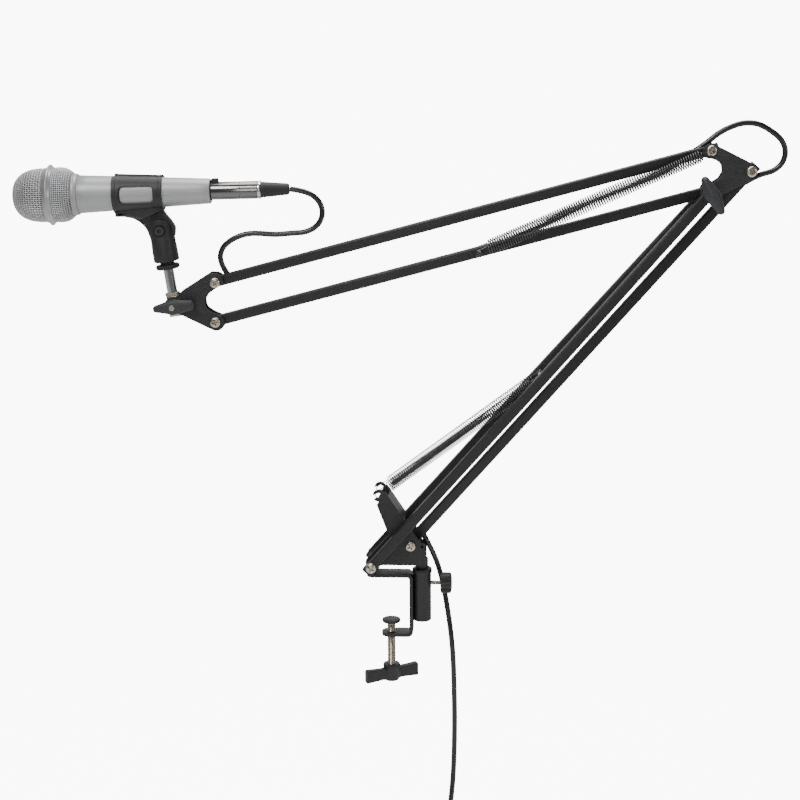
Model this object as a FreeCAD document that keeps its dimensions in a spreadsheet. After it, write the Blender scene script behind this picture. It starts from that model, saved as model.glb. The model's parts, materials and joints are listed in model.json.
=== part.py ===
import FreeCAD, Part
import Sketcher
import math
import os
from FreeCAD import Vector, Placement, Rotation

os.makedirs("parts", exist_ok=True)
doc = FreeCAD.newDocument("MicArm")

# ---------------------------------------------------------------- driving sizes
# Millimetres and degrees. Frame: origin on the underside of the clamp's top jaw, on the clamp screw's axis,
# +Z up, +X along the boom away from the microphone, Y across the boom.
SIZES = [
    ("tube_side", 9.5), ("tube_wall", 1.0), ("tube_over", 7.0),
    ("lower_angle", 48.8), ("upper_angle", 15.0), ("arm_length", 461.0),
    ("pivot_ax", -17.0), ("pivot_az", 15.0), ("link_x", 36.2), ("link_z", 18.0), ("head_link_x", 0.5), ("head_link_z", 36.5),
    ("sleeve_radius", 4.2), ("outer_offset", 22.0), ("outer_end_offset", 11.9), ("outer_straight", 236.0),
    ("bolt_radius", 2.5), ("bolt_hole", 2.55), ("bolt_head", 4.9), ("bolt_head_height", 2.6),
    ("plate_thick", 1.5), ("plate_inner", 5.25), ("base_plate_thick", 1.6), ("base_plate_outer", 15.0),
    ("strap_width", 18.0), ("strap_thick", 3.5), ("jaw_left", -22.6), ("strap_inner_x", 17.5), ("jaw_gap", 55.1),
    ("socket_x", 29.3), ("socket_radius", 8.5), ("socket_top", 7.6), ("socket_bottom", -43.6), ("stem_radius", 5.75), ("stem_bore", 5.8),
    ("thumb_z", -7.1), ("thumb_radius", 2.0), ("thumb_knob_radius", 10.0), ("thumb_knob_width", 10.1), ("thumb_knob_x", 46.5),
    ("screw_radius", 3.9), ("screw_hole", 3.95), ("pad_radius", 8.6), ("pad_thick", 3.5), ("pad_top", -43.0),
    ("handle_length", 54.0), ("handle_thick", 6.0), ("handle_height", 12.5), ("handle_z", -97.5), ("hub_radius", 7.9), ("handle_turn", 29.0),
    ("wing_x", -196.7), ("wing_z", 257.5), ("stud_tilt", 8.13), ("stud_radius", 4.72), ("stud_bore", 4.76), ("stud_length", 50.0), ("clip_rise", 70.0),
    ("block_width", 11.5), ("block_depth", 9.6), ("block_height", 21.0),
    ("fork_radius", 10.7), ("fork_down", 29.3), ("fork_slot", 8.7), ("flange_radius", 10.6), ("flange_thick", 4.6),
    ("mic_x", -340.9), ("mic_z", 357.3), ("mic_slope", 1.46), ("mic_length", 180.8),
    ("grille_radius", 24.4), ("ring_radius", 27.6), ("collar_radius", 18.7), ("body_front_radius", 17.35), ("body_tail_radius", 11.4),
    ("clip_gap", 0.3), ("clip_wall", 2.2), ("clip_start", 89.9), ("clip_end", 135.0), ("tang_thick", 8.0),
    ("plug_radius", 8.05), ("plug_end", 226.4), ("boot_end", 251.8), ("cord_radius", 2.6),
    ("coil_x", 66.0), ("coil_z", -300.0), ("coil_inner", 23.7), ("coil_outer", 34.5), ("coil_half", 10.7), ("tie_turn", 35.0),
    ("spring_radius", 5.6), ("spring_wire", 1.1),
    ("knob_length", 35.0), ("knob_width", 8.5), ("knob_depth", 18.0),
]
sheet = doc.addObject("Spreadsheet::Sheet", "Dims")
for i, (alias, number) in enumerate(SIZES, 1):
    sheet.set("A%d" % i, alias)
    sheet.set("B%d" % i, str(number))
    sheet.setAlias("B%d" % i, alias)
doc.recompute()


def d(alias):
    return float(sheet.get(alias))


# ---------------------------------------------------------------- positions that follow from the sizes
la, ua = math.radians(d("lower_angle")), math.radians(d("upper_angle"))
L = d("arm_length")
A = (d("pivot_ax"), d("pivot_az"))
B = (A[0] + d("link_x"), A[1] + d("link_z"))
C = (A[0] + L * math.cos(la), A[1] + L * math.sin(la))
D = (C[0] + d("link_x"), C[1] + d("link_z"))
E = (C[0] + d("head_link_x"), C[1] + d("head_link_z"))
F = (C[0] - L * math.cos(ua), C[1] - L * math.sin(ua))
G = (F[0] + d("head_link_x"), F[1] + d("head_link_z"))
W = (d("wing_x"), d("wing_z"))
tilt = math.radians(d("stud_tilt"))
K = (W[0] - d("clip_rise") * math.sin(tilt), W[1] + d("clip_rise") * math.cos(tilt))
for name, p in zip("ABCDEFGWK", (A, B, C, D, E, F, G, W, K)):
    print("pivot", name, round(p[0], 3), round(p[1], 3))

LOWER = Rotation(Vector(0, 1, 0), -d("lower_angle"))
UPPER = Rotation(Vector(0, 1, 0), -d("upper_angle"))
STUD = Rotation(Vector(0, 1, 0), -d("stud_tilt"))
MIC = Rotation(Vector(0, 1, 0), -d("mic_slope"))
mic_tip = Vector(d("mic_x"), 0, d("mic_z"))

nodes = []


def at(point, y=0.0):
    return Vector(point[0], y, point[1])


def give(obj, label, place=None, rot=None):
    """Names a finished sub-part and puts it in the frame."""
    obj.Label = label
    if place is not None or rot is not None:
        obj.Placement = Placement(place or Vector(0, 0, 0), rot or Rotation())
    nodes.append((label, obj))
    return obj


def outline(points):
    """Edges of a closed outline. Each point is (x, y) or (x, y, corner radius)."""
    n = len(points)
    cut = []
    for i in range(n):
        p = Vector(points[i][0], points[i][1], 0)
        r = points[i][2] if len(points[i]) > 2 else 0
        if r <= 0:
            cut.append((p, p, None))
            continue
        a = Vector(points[i - 1][0], points[i - 1][1], 0) - p
        b = Vector(points[(i + 1) % n][0], points[(i + 1) % n][1], 0) - p
        la_, lb_ = a.Length, b.Length
        a.normalize()
        b.normalize()
        half = a.getAngle(b) / 2
        t = min(r / math.tan(half), 0.49 * la_, 0.49 * lb_)
        r = t * math.tan(half)
        m = a + b
        m.normalize()
        centre = p + m * (r / math.sin(half))
        cut.append((p + a * t, p + b * t, centre - m * r))
    edges = []
    for i in range(n):
        start, end, mid = cut[i]
        if mid is not None:
            edges.append(Part.Arc(start, mid, end))
        nxt = cut[(i + 1) % n][0]
        if (nxt - end).Length > 1e-6:
            edges.append(Part.LineSegment(end, nxt))
    return edges


def plane(body, role):
    return [f for f in body.Origin.OriginFeatures if f.Role == role][0]


def sketch(body, role, edges, name, circles=()):
    """A sketch on one of the body's origin planes. circles are (x, y, alias of the radius)."""
    sk = body.newObject("Sketcher::SketchObject", name)
    sk.AttachmentSupport = [(plane(body, role), "")]
    sk.MapMode = "FlatFace"
    if edges:
        sk.addGeometry(edges, False)
    for cx, cy, alias in circles:
        radius = d(alias) if isinstance(alias, str) else alias
        g = sk.addGeometry(Part.Circle(Vector(cx, cy, 0), Vector(0, 0, 1), radius), False)
        c = sk.addConstraint(Sketcher.Constraint("Radius", g, radius))
        if isinstance(alias, str):
            sk.renameConstraint(c, "rad%d" % g)
            sk.setExpression("Constraints.rad%d" % g, "Dims." + alias)
    return sk


def pad(label, points, length, circles=(), role="XZ_Plane", holes=()):
    """A plate: an outline, with round and shaped holes, made thick to both sides of its plane."""
    body = doc.addObject("PartDesign::Body", label)
    sk = sketch(body, role, outline(points) if points else [], label + "_sk", circles)
    for h in holes:
        sk.addGeometry(outline(h), False)
    p = body.newObject("PartDesign::Pad", label + "_pad")
    p.Profile = sk
    p.Midplane = True
    p.setExpression("Length", length) if isinstance(length, str) else setattr(p, "Length", length)
    body.Tip = p
    sk.Visibility = False
    return body


def pocket(body, points, length, name, role="XY_Plane", offset=0.0, circles=(), midplane=True, reverse=False):
    sk = sketch(body, role, outline(points) if points else [], name + "_sk", circles)
    if offset:
        sk.AttachmentOffset = Placement(Vector(0, 0, offset), Rotation())
    c = body.newObject("PartDesign::Pocket", name)
    c.Profile = sk
    c.Midplane = midplane
    c.Reversed = reverse
    c.setExpression("Length", length) if isinstance(length, str) else setattr(c, "Length", length)
    body.Tip = c
    return c


def turn(label, points, role="XZ_Plane", axis="V_Axis"):
    """A turned piece: a closed outline, round the sketch's own vertical or horizontal axis."""
    body = doc.addObject("PartDesign::Body", label)
    sk = sketch(body, role, outline(points), label + "_sk")
    r = body.newObject("PartDesign::Revolution", label + "_rev")
    r.Profile = sk
    r.ReferenceAxis = (sk, [axis])
    r.Angle = 360
    body.Tip = r
    return body


def cylinder(name, radius, height, pos=(0, 0, 0), direction=(0, 0, 1)):
    c = doc.addObject("Part::Cylinder", name)
    c.setExpression("Radius", radius) if isinstance(radius, str) else setattr(c, "Radius", radius)
    c.setExpression("Height", height) if isinstance(height, str) else setattr(c, "Height", height)
    c.Placement = Placement(Vector(*pos), Rotation(Vector(0, 0, 1), Vector(*direction)))
    return c


def box(name, size, pos=(0, 0, 0), rot=None):
    b = doc.addObject("Part::Box", name)
    for key, value in zip(("Length", "Width", "Height"), size):
        b.setExpression(key, value) if isinstance(value, str) else setattr(b, key, value)
    b.Placement = Placement(Vector(*pos), rot or Rotation())
    return b


def cut(name, base, *tools):
    for i, t in enumerate(tools):
        c = doc.addObject("Part::Cut", "%s_c%d" % (name, i))
        c.Base, c.Tool = base, t
        base = c
    return base


def fuse(name, *parts):
    f = doc.addObject("Part::MultiFuse", name)
    f.Shapes = list(parts)
    f.Refine = True
    return f


def common(name, a, b):
    c = doc.addObject("Part::Common", name)
    c.Base, c.Tool = a, b
    return c


def bolt(label, centre, y_head, y_end, shank="bolt_radius", nut=True, head="bolt_head"):
    """A pan head bolt along Y with its lock nut, head towards -Y."""
    rs, rh, hh = d(shank), d(head), d("bolt_head_height")
    pts = [(0, y_head - hh), (rh * 0.55, y_head - hh), (rh * 0.92, y_head - hh * 0.6), (rh, y_head), (rs, y_head), (rs, y_end)]
    if nut:
        pts += [(3.9, y_end), (3.9, y_end + 3.6), (rs, y_end + 4.6), (0, y_end + 4.6)]
    else:
        pts += [(0, y_end)]
    b = turn(label, pts, role="XY_Plane", axis="V_Axis")
    return give(b, label, at(centre))


# ---------------------------------------------------------------- desk clamp
# One bent strap: top jaw, back and bottom jaw, with the corners rounded in the bend.
w2 = d("strap_width") / 2
t = d("strap_thick")
jx, ix, gap = d("jaw_left"), d("strap_inner_x"), d("jaw_gap")
clamp = pad("clamp_frame", [(jx, 0), (ix, 0, 2.0), (ix, -gap, 2.0), (-9.0, -gap), (-9.0, -gap - t), (ix + t, -gap - t, 5.0), (ix + t, t, 5.0), (jx, t)], "Dims.strap_width")
doc.recompute()
# round jaw tips, seen from above
pocket(clamp, [(jx - 1, -w2 - 1), (jx + 5.0, -w2 - 1), (jx + 5.0, -w2), (jx, -w2 + 5.0), (jx - 1, -w2 + 5.0)], 200.0, "clamp_tip_a")
pocket(clamp, [(jx - 1, w2 + 1), (jx + 5.0, w2 + 1), (jx + 5.0, w2), (jx, w2 - 5.0), (jx - 1, w2 - 5.0)], 200.0, "clamp_tip_b")
pocket(clamp, None, 40.0, "clamp_hole", offset=-gap, circles=[(0, 0, "screw_hole")], midplane=True)
doc.recompute()
give(clamp, "clamp_frame")

sr, sb = d("socket_radius"), d("stem_bore")
zt, zb = d("socket_top"), d("socket_bottom")
socket = turn("clamp_socket", [(sb, zb), (sr, zb, 0.6), (sr, zt - 5.2), (sr + 0.7, zt - 4.2, 0.5), (sr + 0.7, zt - 0.6, 0.6), (sr, zt), (sb, zt)])
doc.recompute()
th = socket.newObject("Sketcher::SketchObject", "thumb_hole_sk")
th.AttachmentSupport = [(plane(socket, "YZ_Plane"), "")]
th.MapMode = "FlatFace"
th.addGeometry(Part.Circle(Vector(0, d("thumb_z"), 0), Vector(0, 0, 1), d("thumb_radius") + 0.05), False)
tp = socket.newObject("PartDesign::Pocket", "thumb_hole")
tp.Profile = th
tp.Length = 12.0
tp.Reversed = True
socket.Tip = tp
doc.recompute()
give(socket, "clamp_socket", Vector(d("socket_x"), 0, 0))

shank = cylinder("thumb_shank_c", "Dims.thumb_radius", 18.2, (d("socket_x") + d("stem_radius") + 0.05, 0, d("thumb_z")), (1, 0, 0))
give(shank, "thumb_shank")
# fluted thumb knob, bored for the shank
kr, kw, kx = d("thumb_knob_radius"), d("thumb_knob_width"), d("thumb_knob_x")
knob = turn("thumb_knob", [(0, d("thumb_radius") + 0.05), (0, 7.6), (0.6, kr, 0.8), (kw - 1.0, kr, 0.8), (kw, 7.8), (kw + 0.9, 5.0), (kw + 0.9, 0), (7.5, 0), (7.5, d("thumb_radius") + 0.05)], axis="H_Axis")
doc.recompute()
fl = sketch(knob, "YZ_Plane", [], "thumb_flute_sk", circles=[(0, kr + 0.9, 1.9)])
fp = knob.newObject("PartDesign::Pocket", "thumb_flute")
fp.Profile = fl
fp.Midplane = True
fp.Length = 60.0
knob.Tip = fp
doc.recompute()
pol = knob.newObject("PartDesign::PolarPattern", "thumb_flutes")
pol.Originals = [fp]
pol.Axis = (plane(knob, "X_Axis"), [""])
pol.Angle = 360
pol.Occurrences = 12
knob.Tip = pol
doc.recompute()
give(knob, "thumb_knob", Vector(kx, 0, d("thumb_z")))

# clamp screw with its swivel pad and T handle
pt = d("pad_top")
pth = d("pad_thick")
rs = d("screw_radius")
hz, hh = d("handle_z"), d("handle_height")
screw = turn("clamp_screw", [(0, hz - 3.0), (rs, hz - 3.0), (rs, pt - pth - 1.2), (2.4, pt - pth), (2.4, pt - 1.4), (0, pt - 1.4)])
give(screw, "clamp_screw")
pr = d("pad_radius")
padb = turn("clamp_pad", [(0, pt), (pr, pt, 0.8), (pr, pt - pth, 0.6), (2.5, pt - pth), (2.5, pt - 1.3), (0, pt - 1.3)])
give(padb, "clamp_pad")
hl, ht = d("handle_length"), d("handle_thick")
bar = box("handle_bar", ("Dims.handle_length", "Dims.handle_thick", "Dims.handle_height"), (-hl / 2, -ht / 2, hz - hh / 2))
barf = doc.addObject("Part::Fillet", "handle_bar_f")
barf.Base = bar
doc.recompute()
barf.Edges = [(i + 1, 2.4, 2.4) for i, e in enumerate(bar.Shape.Edges) if abs(e.Vertexes[0].Z - e.Vertexes[1].Z) > 1]
hub = cylinder("handle_hub", "Dims.hub_radius", hh + 2.6, (0, 0, hz - hh / 2))
hf = doc.addObject("Part::Fillet", "handle_hub_f")
hf.Base = hub
doc.recompute()
hf.Edges = [(i + 1, 1.6, 1.6) for i, e in enumerate(hub.Shape.Edges) if len(e.Vertexes) == 1]
hbore = cylinder("handle_bore", rs + 0.0, 40.0, (0, 0, hz - 3.0))
handle = cut("handle", fuse("handle_fuse", barf, hf), hbore)
give(handle, "clamp_handle", Vector(0, 0, 0), Rotation(Vector(0, 0, 1), d("handle_turn")))

# ---------------------------------------------------------------- swivelling base bracket
bo, bt = d("base_plate_outer"), d("base_plate_thick")
nx, nz = 18.3, -27.8
nl = math.hypot(nx, nz)
ux, uz = nx / nl, nz / nl
c0, c1 = (-4.1, 85.2), (14.2, 57.4)
plate_pts = [(-23.0, 19.0, 5.5), (-22.5, 8.3, 6.0), (-11.5, 8.3, 3.0), (-9.0, 14.2, 2.0), (33.1, 14.2), (33.1, 34.5, 1.5), (28.3, 36.5, 1.0), (20.7, 47.8), c1, c0, (-12.1, 72.6), (-1.2, 43.7)]
side = pad("base_side", plate_pts, 2 * bo, circles=[(A[0], A[1], "sleeve_radius"), (B[0], B[1], "bolt_hole")])
core = box("base_core", (120.0, 2 * (bo - bt), 160.0), (-60.0, -(bo - bt), -20.0))
# the web that joins the two plates along the hook arm, and the foot that carries the stem
web_rot = Rotation(Vector(0, 1, 0), math.degrees(math.atan2(-nz, nx)))
web = box("base_web", (nl - 6.0, 2 * bo - 0.02, bt), (0, 0, 0))
web.Placement = Placement(Vector(c0[0] + ux * 6.0 + uz * bt, -bo + 0.01, c0[1] + uz * 6.0 - ux * bt), web_rot)
foot = box("base_foot", (18.6, 2 * bo - 0.02, 3.0), (14.4, -bo + 0.01, 14.21))
# hooks: part rings on the two plates' tips, open at the lower left
hook_ring = cylinder("hook_ring", 5.6, 2 * bo - 0.04, (-10.2, -bo + 0.02, 81.4), (0, 1, 0))
hook_core = box("hook_core", (40.0, 2 * (bo - bt), 40.0), (-30.0, -(bo - bt), 60.0))
hook_eye = cylinder("hook_eye", 2.5, 60.0, (-10.2, -30.0, 81.4), (0, 1, 0))
hook_gap = box("hook_gap", (9.0, 60.0, 3.4), (-18.6, -30.0, 76.4), Rotation(Vector(0, 1, 0), -25))
solid = fuse("base_solid", side, hook_ring)
hollow = cut("base_hollow", solid, core)
base = cut("base_done", fuse("base_all", hollow, web, foot), hook_eye, hook_gap, cylinder("base_stem_hole", "Dims.stem_radius", 20.0, (d("socket_x"), 0, 5.0)))
curl = cylinder("base_curl", 1.5, 60.0, (30.0, -30.0, 32.4), (0, 1, 0))
base = cut("base_bracket_x", base, curl)
give(base, "base_bracket")

stem = turn("base_stem", [(0, zb + 3.0), (d("stem_radius") - 0.8, zb + 3.0), (d("stem_radius"), zb + 3.8), (d("stem_radius"), 17.2), (0, 17.2)])
give(stem, "base_stem", Vector(d("socket_x"), 0, 0))
oo = d("outer_offset")
half = d("tube_side") / 2
# the spacer sleeves: one through both plates for the outer tubes, one between the plates for the centre tube
sleeve_a = turn("base_sleeve_a", [(2.55, -(oo - half) + 0.08), (d("sleeve_radius"), -(oo - half) + 0.08), (d("sleeve_radius"), (oo - half) - 0.08), (2.55, (oo - half) - 0.08)], role="XY_Plane")
sleeve_b = turn("base_sleeve_b", [(2.55, -(bo - bt) + 0.02), (3.95, -(bo - bt) + 0.02), (3.95, bo - bt - 0.02), (2.55, bo - bt - 0.02)], role="XY_Plane")
give(sleeve_a, "base_sleeve_a", at(A))
give(sleeve_b, "base_sleeve_b", at(B))
bolt("base_bolt_a", A, -(oo + half + 0.05), oo + half + 0.05)
bolt("base_bolt_b", B, -(bo + 0.02), bo + 0.02)

# ---------------------------------------------------------------- lower arm
side_l, wall = d("tube_side"), d("tube_wall")
over = d("tube_over")
run = d("outer_straight")
lean = math.degrees(math.atan2(oo - d("outer_end_offset"), L - run))


def outer_tube(label, sign):
    """An outer tube of the lower arm: straight to the spring pin, then leaning in to the elbow."""
    rest = (L - run) / math.cos(math.radians(lean)) + over
    shapes = []
    for grow, tag in ((0.0, "out"), (wall, "in")):
        s_ = side_l - 2 * grow
        a = box(label + "_a" + tag, (run + over + 2 * grow, s_, s_), (-over - 2 * grow, sign * oo - s_ / 2, -s_ / 2))
        b = box(label + "_b" + tag, (rest + 2 * grow, s_, s_))
        r = Rotation(Vector(0, 0, 1), -sign * lean)
        b.Placement = Placement(Vector(run, sign * oo, 0) + r.multVec(Vector(-0.2, -s_ / 2, -s_ / 2)), r)
        shapes.append(fuse(label + "_f" + tag, a, b))
    holes = [cylinder(label + "_h1", "Dims.bolt_hole", 80.0, (0, -40, 0), (0, 1, 0)),
             cylinder(label + "_h2", 3.05, 80.0, (L, -40, 0), (0, 1, 0)),
             cylinder(label + "_h3", 2.5, 30.0, (run, sign * oo - 15, 0), (0, 1, 0))]
    o = cut(label + "_x", shapes[0], shapes[1], *holes)
    return give(o, label, at(A), LOWER)


outer_tube("lower_tube_front", -1)
outer_tube("lower_tube_rear", 1)


def square_tube(label, length, holes, slots, place, rot, end_over=None):
    """A square tube along its own X from -over to length+over, with cross holes and cable slots (start, end, top or bottom)."""
    eo = over if end_over is None else end_over
    o = box(label + "_o", (length + over + eo, "Dims.tube_side", "Dims.tube_side"), (-over, -side_l / 2, -side_l / 2))
    i = box(label + "_i", (length + over + eo + 4, side_l - 2 * wall, side_l - 2 * wall), (-over - 2, -side_l / 2 + wall, -side_l / 2 + wall))
    tools = [i]
    for k, (x, r) in enumerate(holes):
        tools.append(cylinder("%s_h%d" % (label, k), r, 30.0, (x, -15, 0), (0, 1, 0)))
    for k, (x0, x1, up) in enumerate(slots):
        z0 = side_l / 2 - wall - 0.4 if up else -side_l / 2 - 0.4
        tools.append(box("%s_s%d" % (label, k), (x1 - x0 - 6.6, 6.6, wall + 0.8), (x0 + 3.3, -3.3, z0)))
        for q, cx in enumerate((x0 + 3.3, x1 - 3.3)):
            tools.append(cylinder("%s_t%d%d" % (label, k, q), 3.3, wall + 0.8, (cx, 0, z0)))
    return give(cut(label + "_x", o, *tools), label, place, rot)


square_tube("lower_tube_centre", L, [(0, 4.0), (L, "Dims.bolt_hole")], [(4.5, 27.0, False), (434.0, 465.0, False)], at(B), LOWER)
pin = turn("lower_spring_pin", [(0, -oo - 2.2), (2.45, -oo - 2.2), (2.45, -oo + 4.8), (2.45, oo + 2.2), (0, oo + 2.2)], role="XY_Plane")
pin_at = (A[0] + run * math.cos(la), A[1] + run * math.sin(la))
give(pin, "lower_spring_pin", at(pin_at))

# ---------------------------------------------------------------- springs
sp, wire = d("spring_radius"), d("spring_wire")


def spring(label, start, end, y0, y1, eye0, eye1):
    """A tension spring as a sleeve of the coil's outer size with a straight tail of wire at each end.
    start and end are the anchor points; the coil leaves eye0 and eye1 free at the ends."""
    p, q = at(start, y0), at(end, y1)
    v = q - p
    n = v.Length
    u = Vector(v)
    u.normalize()
    a, b = p + u * eye0, q - u * eye1
    outer = Part.makeCylinder(sp, (b - a).Length, a, u)
    inner = Part.makeCylinder(sp - 1.6, (b - a).Length - 2.4, a + u * 1.2, u)
    tail0 = Part.makeCylinder(wire / 2, eye0 - 3.2 + 0.3, a - u * (eye0 - 3.2), u)
    tail1 = Part.makeCylinder(wire / 2, eye1 - 3.2 + 0.3, b - u * 0.3, u)
    s = outer.cut(inner).fuse([tail0, tail1]).removeSplitter()
    o = doc.addObject("Part::Feature", label)
    o.Shape = s
    o.Placement = Placement()
    return give(o, label)


hook = (-10.2, 81.4)
spring("lower_spring_front", hook, pin_at, -9.6, -9.6, 10.5, 9.0)
spring("lower_spring_rear", hook, pin_at, 9.6, 9.6, 10.5, 9.0)

# ---------------------------------------------------------------- elbow
pi_, ptk = d("plate_inner"), d("plate_thick")
py = pi_ + ptk / 2
e_out = [(-7.4, 46.9, 7.4), (43.4, 23.4, 6.0), (43.4, 19.0, 3.0), (30.6, 7.1, 8.0), (12.6, -2.2, 4.0), (8.6, -8.9, 6.5), (-8.4, -8.7, 7.8), (-8.6, 5.4, 6.0), (1.6, 7.4, 4.0), (7.6, 11.2, 5.0), (11.2, 17.4, 5.0), (10.0, 23.4, 5.0), (5.4, 27.6, 4.0),
         (0.6, 29.4, 2.0), (-7.4, 30.0, 6.0)]
for tag, sign in (("front", -1), ("rear", 1)):
    pl = pad("elbow_plate_" + tag, [(p[0], p[1]) + tuple(p[2:]) for p in e_out], "Dims.plate_thick",
             circles=[(0, 0, 3.05), (d("link_x"), d("link_z"), "bolt_hole"), (d("head_link_x"), d("head_link_z"), "bolt_hole")])
    give(pl, "elbow_plate_" + tag, at(C, sign * py))
bolt("elbow_bolt_upper", E, -(pi_ + ptk + 0.02), pi_ + ptk + 0.02)
bolt("elbow_bolt_rear", D, -(pi_ + ptk + 0.02), pi_ + ptk + 0.02)
oe = d("outer_end_offset") + half + 0.4
main = turn("elbow_bolt_main", [(0, oe + 4.2), (4.2, oe + 3.4), (6.6, oe + 0.9, 0.8), (6.6, oe + 0.1), (3.0, oe + 0.1), (3.0, -36.0), (0, -36.0)], role="XY_Plane")
give(main, "elbow_bolt_main", at(C))
kl, kwid, kd = d("knob_length"), d("knob_width"), d("knob_depth")
y_hub = -(oe + 0.15)
hubk = cylinder("elbow_hub", 7.4, 10.0, (0, y_hub - 9.0, 0), (0, 1, 0))
hubk2 = doc.addObject("Part::Chamfer", "elbow_hub_f")
hubk2.Base = hubk
hubk.Placement = Placement(Vector(0, y_hub, 0), Rotation(Vector(0, 0, 1), Vector(0, -1, 0)))
doc.recompute()
hubk2.Edges = [(i + 1, 1.0, 1.0) for i, e in enumerate(hubk.Shape.Edges) if len(e.Vertexes) == 1]
pad_len = kl - kwid
pdl = pad("elbow_paddle", [(-kl / 2, -kwid / 2, kwid / 2 - 0.05), (kl / 2, -kwid / 2, kwid / 2 - 0.05), (kl / 2, kwid / 2, kwid / 2 - 0.05), (-kl / 2, kwid / 2, kwid / 2 - 0.05)], "Dims.knob_depth")
pdl.Placement = Placement(Vector(0, y_hub - 8.0 - kd / 2, 0), Rotation())
doc.recompute()
pf = doc.addObject("Part::Fillet", "elbow_paddle_f")
pf.Base = pdl
front_y = y_hub - 8.0 - kd
pf.Edges = [(i + 1, 2.2, 2.2) for i, e in enumerate(pdl.Shape.Edges) if all(abs(v.Y - front_y) < 1e-4 for v in e.Vertexes)]
kbore = cylinder("elbow_knob_bore", 3.05, 60.0, (0, -36.2, 0), (0, 1, 0))
knobx = cut("elbow_knob_x", fuse("elbow_knob_u", hubk2, pf), kbore)
give(knobx, "elbow_knob", at(C), Rotation(Vector(0, 1, 0), 61.5))

# ---------------------------------------------------------------- upper arm (its own X runs from the head to the elbow)
square_tube("upper_tube_top", L, [(0, "Dims.bolt_hole"), (L, "Dims.bolt_hole")], [(5.5, 24.0, True), (436.0, 463.5, True)], at(G), UPPER)
pin_s = 249.5
square_tube("upper_tube_bottom", L, [(0, "Dims.bolt_hole"), (pin_s, 2.5), (L, 3.05)], [], at(F), UPPER)
up_at = (F[0] + pin_s * math.cos(ua), F[1] + pin_s * math.sin(ua))
up = turn("upper_spring_pin", [(0, -16.2), (3.2, -16.2, 0.8), (3.2, -13.2), (2.45, -13.2), (2.45, 13.2), (3.2, 13.2), (3.2, 16.2, 0.8), (0, 16.2)], role="XY_Plane")
give(up, "upper_spring_pin", at(up_at))
spring("upper_spring_front", up_at, E, -11.9, -11.4, 8.5, 9.5)
spring("upper_spring_rear", up_at, E, 11.9, 11.4, 8.5, 9.5)

# ---------------------------------------------------------------- head
gx, gz = G
h_out = [(8.0, 7.8, 7.7), (-4.0, 8.8, 5.0), (-31.2, -8.6, 1.0), (-36.0, -13.2, 1.0), (-47.0, -14.4, 7.6), (-47.0, -29.2, 7.6), (-33.5, -29.2, 2.0), (-6.5, -42.3, 3.0), (-1.0, -44.6, 6.5), (7.9, -44.3, 7.7), (7.9, -33.6, 3.0), (3.9, -30.6, 4.0),
         (-2.4, -27.8, 6.0), (-8.9, -23.5, 5.0), (-10.0, -16.5, 4.0), (-6.6, -10.6, 4.0), (-0.9, -6.5, 4.0), (5.6, -2.4, 1.0), (8.0, -0.8, 1.5)]
for tag, sign in (("front", -1), ("rear", 1)):
    pl = pad("head_plate_" + tag, h_out, "Dims.plate_thick",
             circles=[(0, 0, "bolt_hole"), (-d("head_link_x"), -d("head_link_z"), "bolt_hole"), (W[0] - gx, W[1] - gz, "bolt_hole")])
    give(pl, "head_plate_" + tag, at(G, sign * py))
bolt("head_bolt_upper", G, -(pi_ + ptk + 0.02), pi_ + ptk + 0.02)
bolt("head_bolt_lower", F, -(pi_ + ptk + 0.02), pi_ + ptk + 0.02)

# wing bolt, hex head at the back, and the plastic wing nut in front
yh = pi_ + ptk + 0.02
wb = turn("wing_bolt", [(0, -16.0), (2.5, -16.0), (2.5, yh), (4.4, yh), (4.4, yh + 3.6, 0.6), (0, yh + 3.6)], role="XY_Plane")
give(wb, "wing_bolt", at(W))
wing = pad("wing_blade", [(-19.0, -2.6, 3.0), (-4.0, -5.6, 3.0), (4.0, -5.8, 3.0), (19.0, -2.4, 4.0), (19.0, 5.0, 4.0), (5.0, 4.6, 3.0), (-5.0, 4.0, 3.0), (-19.0, 3.0, 3.0)], 5.6)
wing.Placement = Placement(Vector(0, -14.4, 0), Rotation())
doc.recompute()
wf = doc.addObject("Part::Chamfer", "wing_blade_f")
wf.Base = wing
wf.Edges = [(i + 1, 1.0, 1.0) for i, e in enumerate(wing.Shape.Edges) if all(abs(v.Y + 17.2) < 1e-4 for v in e.Vertexes)]
whub = cylinder("wing_hub", 6.2, 10.0, (0, -yh - 0.05, 0), (0, -1, 0))
wbore = cylinder("wing_bore", 2.55, 9.5, (0, -yh + 0.2, 0), (0, -1, 0))
wn = cut("wing_nut_x", fuse("wing_fuse", wf, whub), wbore)
give(wn, "wing_nut", at(W), Rotation(Vector(0, 1, 0), -6.4))

# ---------------------------------------------------------------- stud (its own Z runs up the rod)
bw, bd, bh = d("block_width"), d("block_depth"), d("block_height")
blk = box("block_b", ("Dims.block_width", "Dims.block_depth", "Dims.block_height"), (-bw / 2, -bd / 2, -bh / 2))
blf = doc.addObject("Part::Chamfer", "block_f")
blf.Base = blk
doc.recompute()
blf.Edges = [(i + 1, 0.7, 0.7) for i, e in enumerate(blk.Shape.Edges)]
block = cut("block_x", blf, cylinder("block_bore", "Dims.bolt_hole", 30.0, (0, -15, 0), (0, 1, 0)), cylinder("block_seat", "Dims.stud_radius", 20.0, (0, 0, 4.6)))
give(block, "stud_block", at(W), STUD)
rod = turn("stud_rod", [(0, 4.6), (d("stud_radius"), 4.6), (d("stud_radius"), d("stud_length") - 0.8), (d("stud_radius") - 0.8, d("stud_length")), (0, d("stud_length"))])
give(rod, "stud_rod", at(W), STUD)

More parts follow.
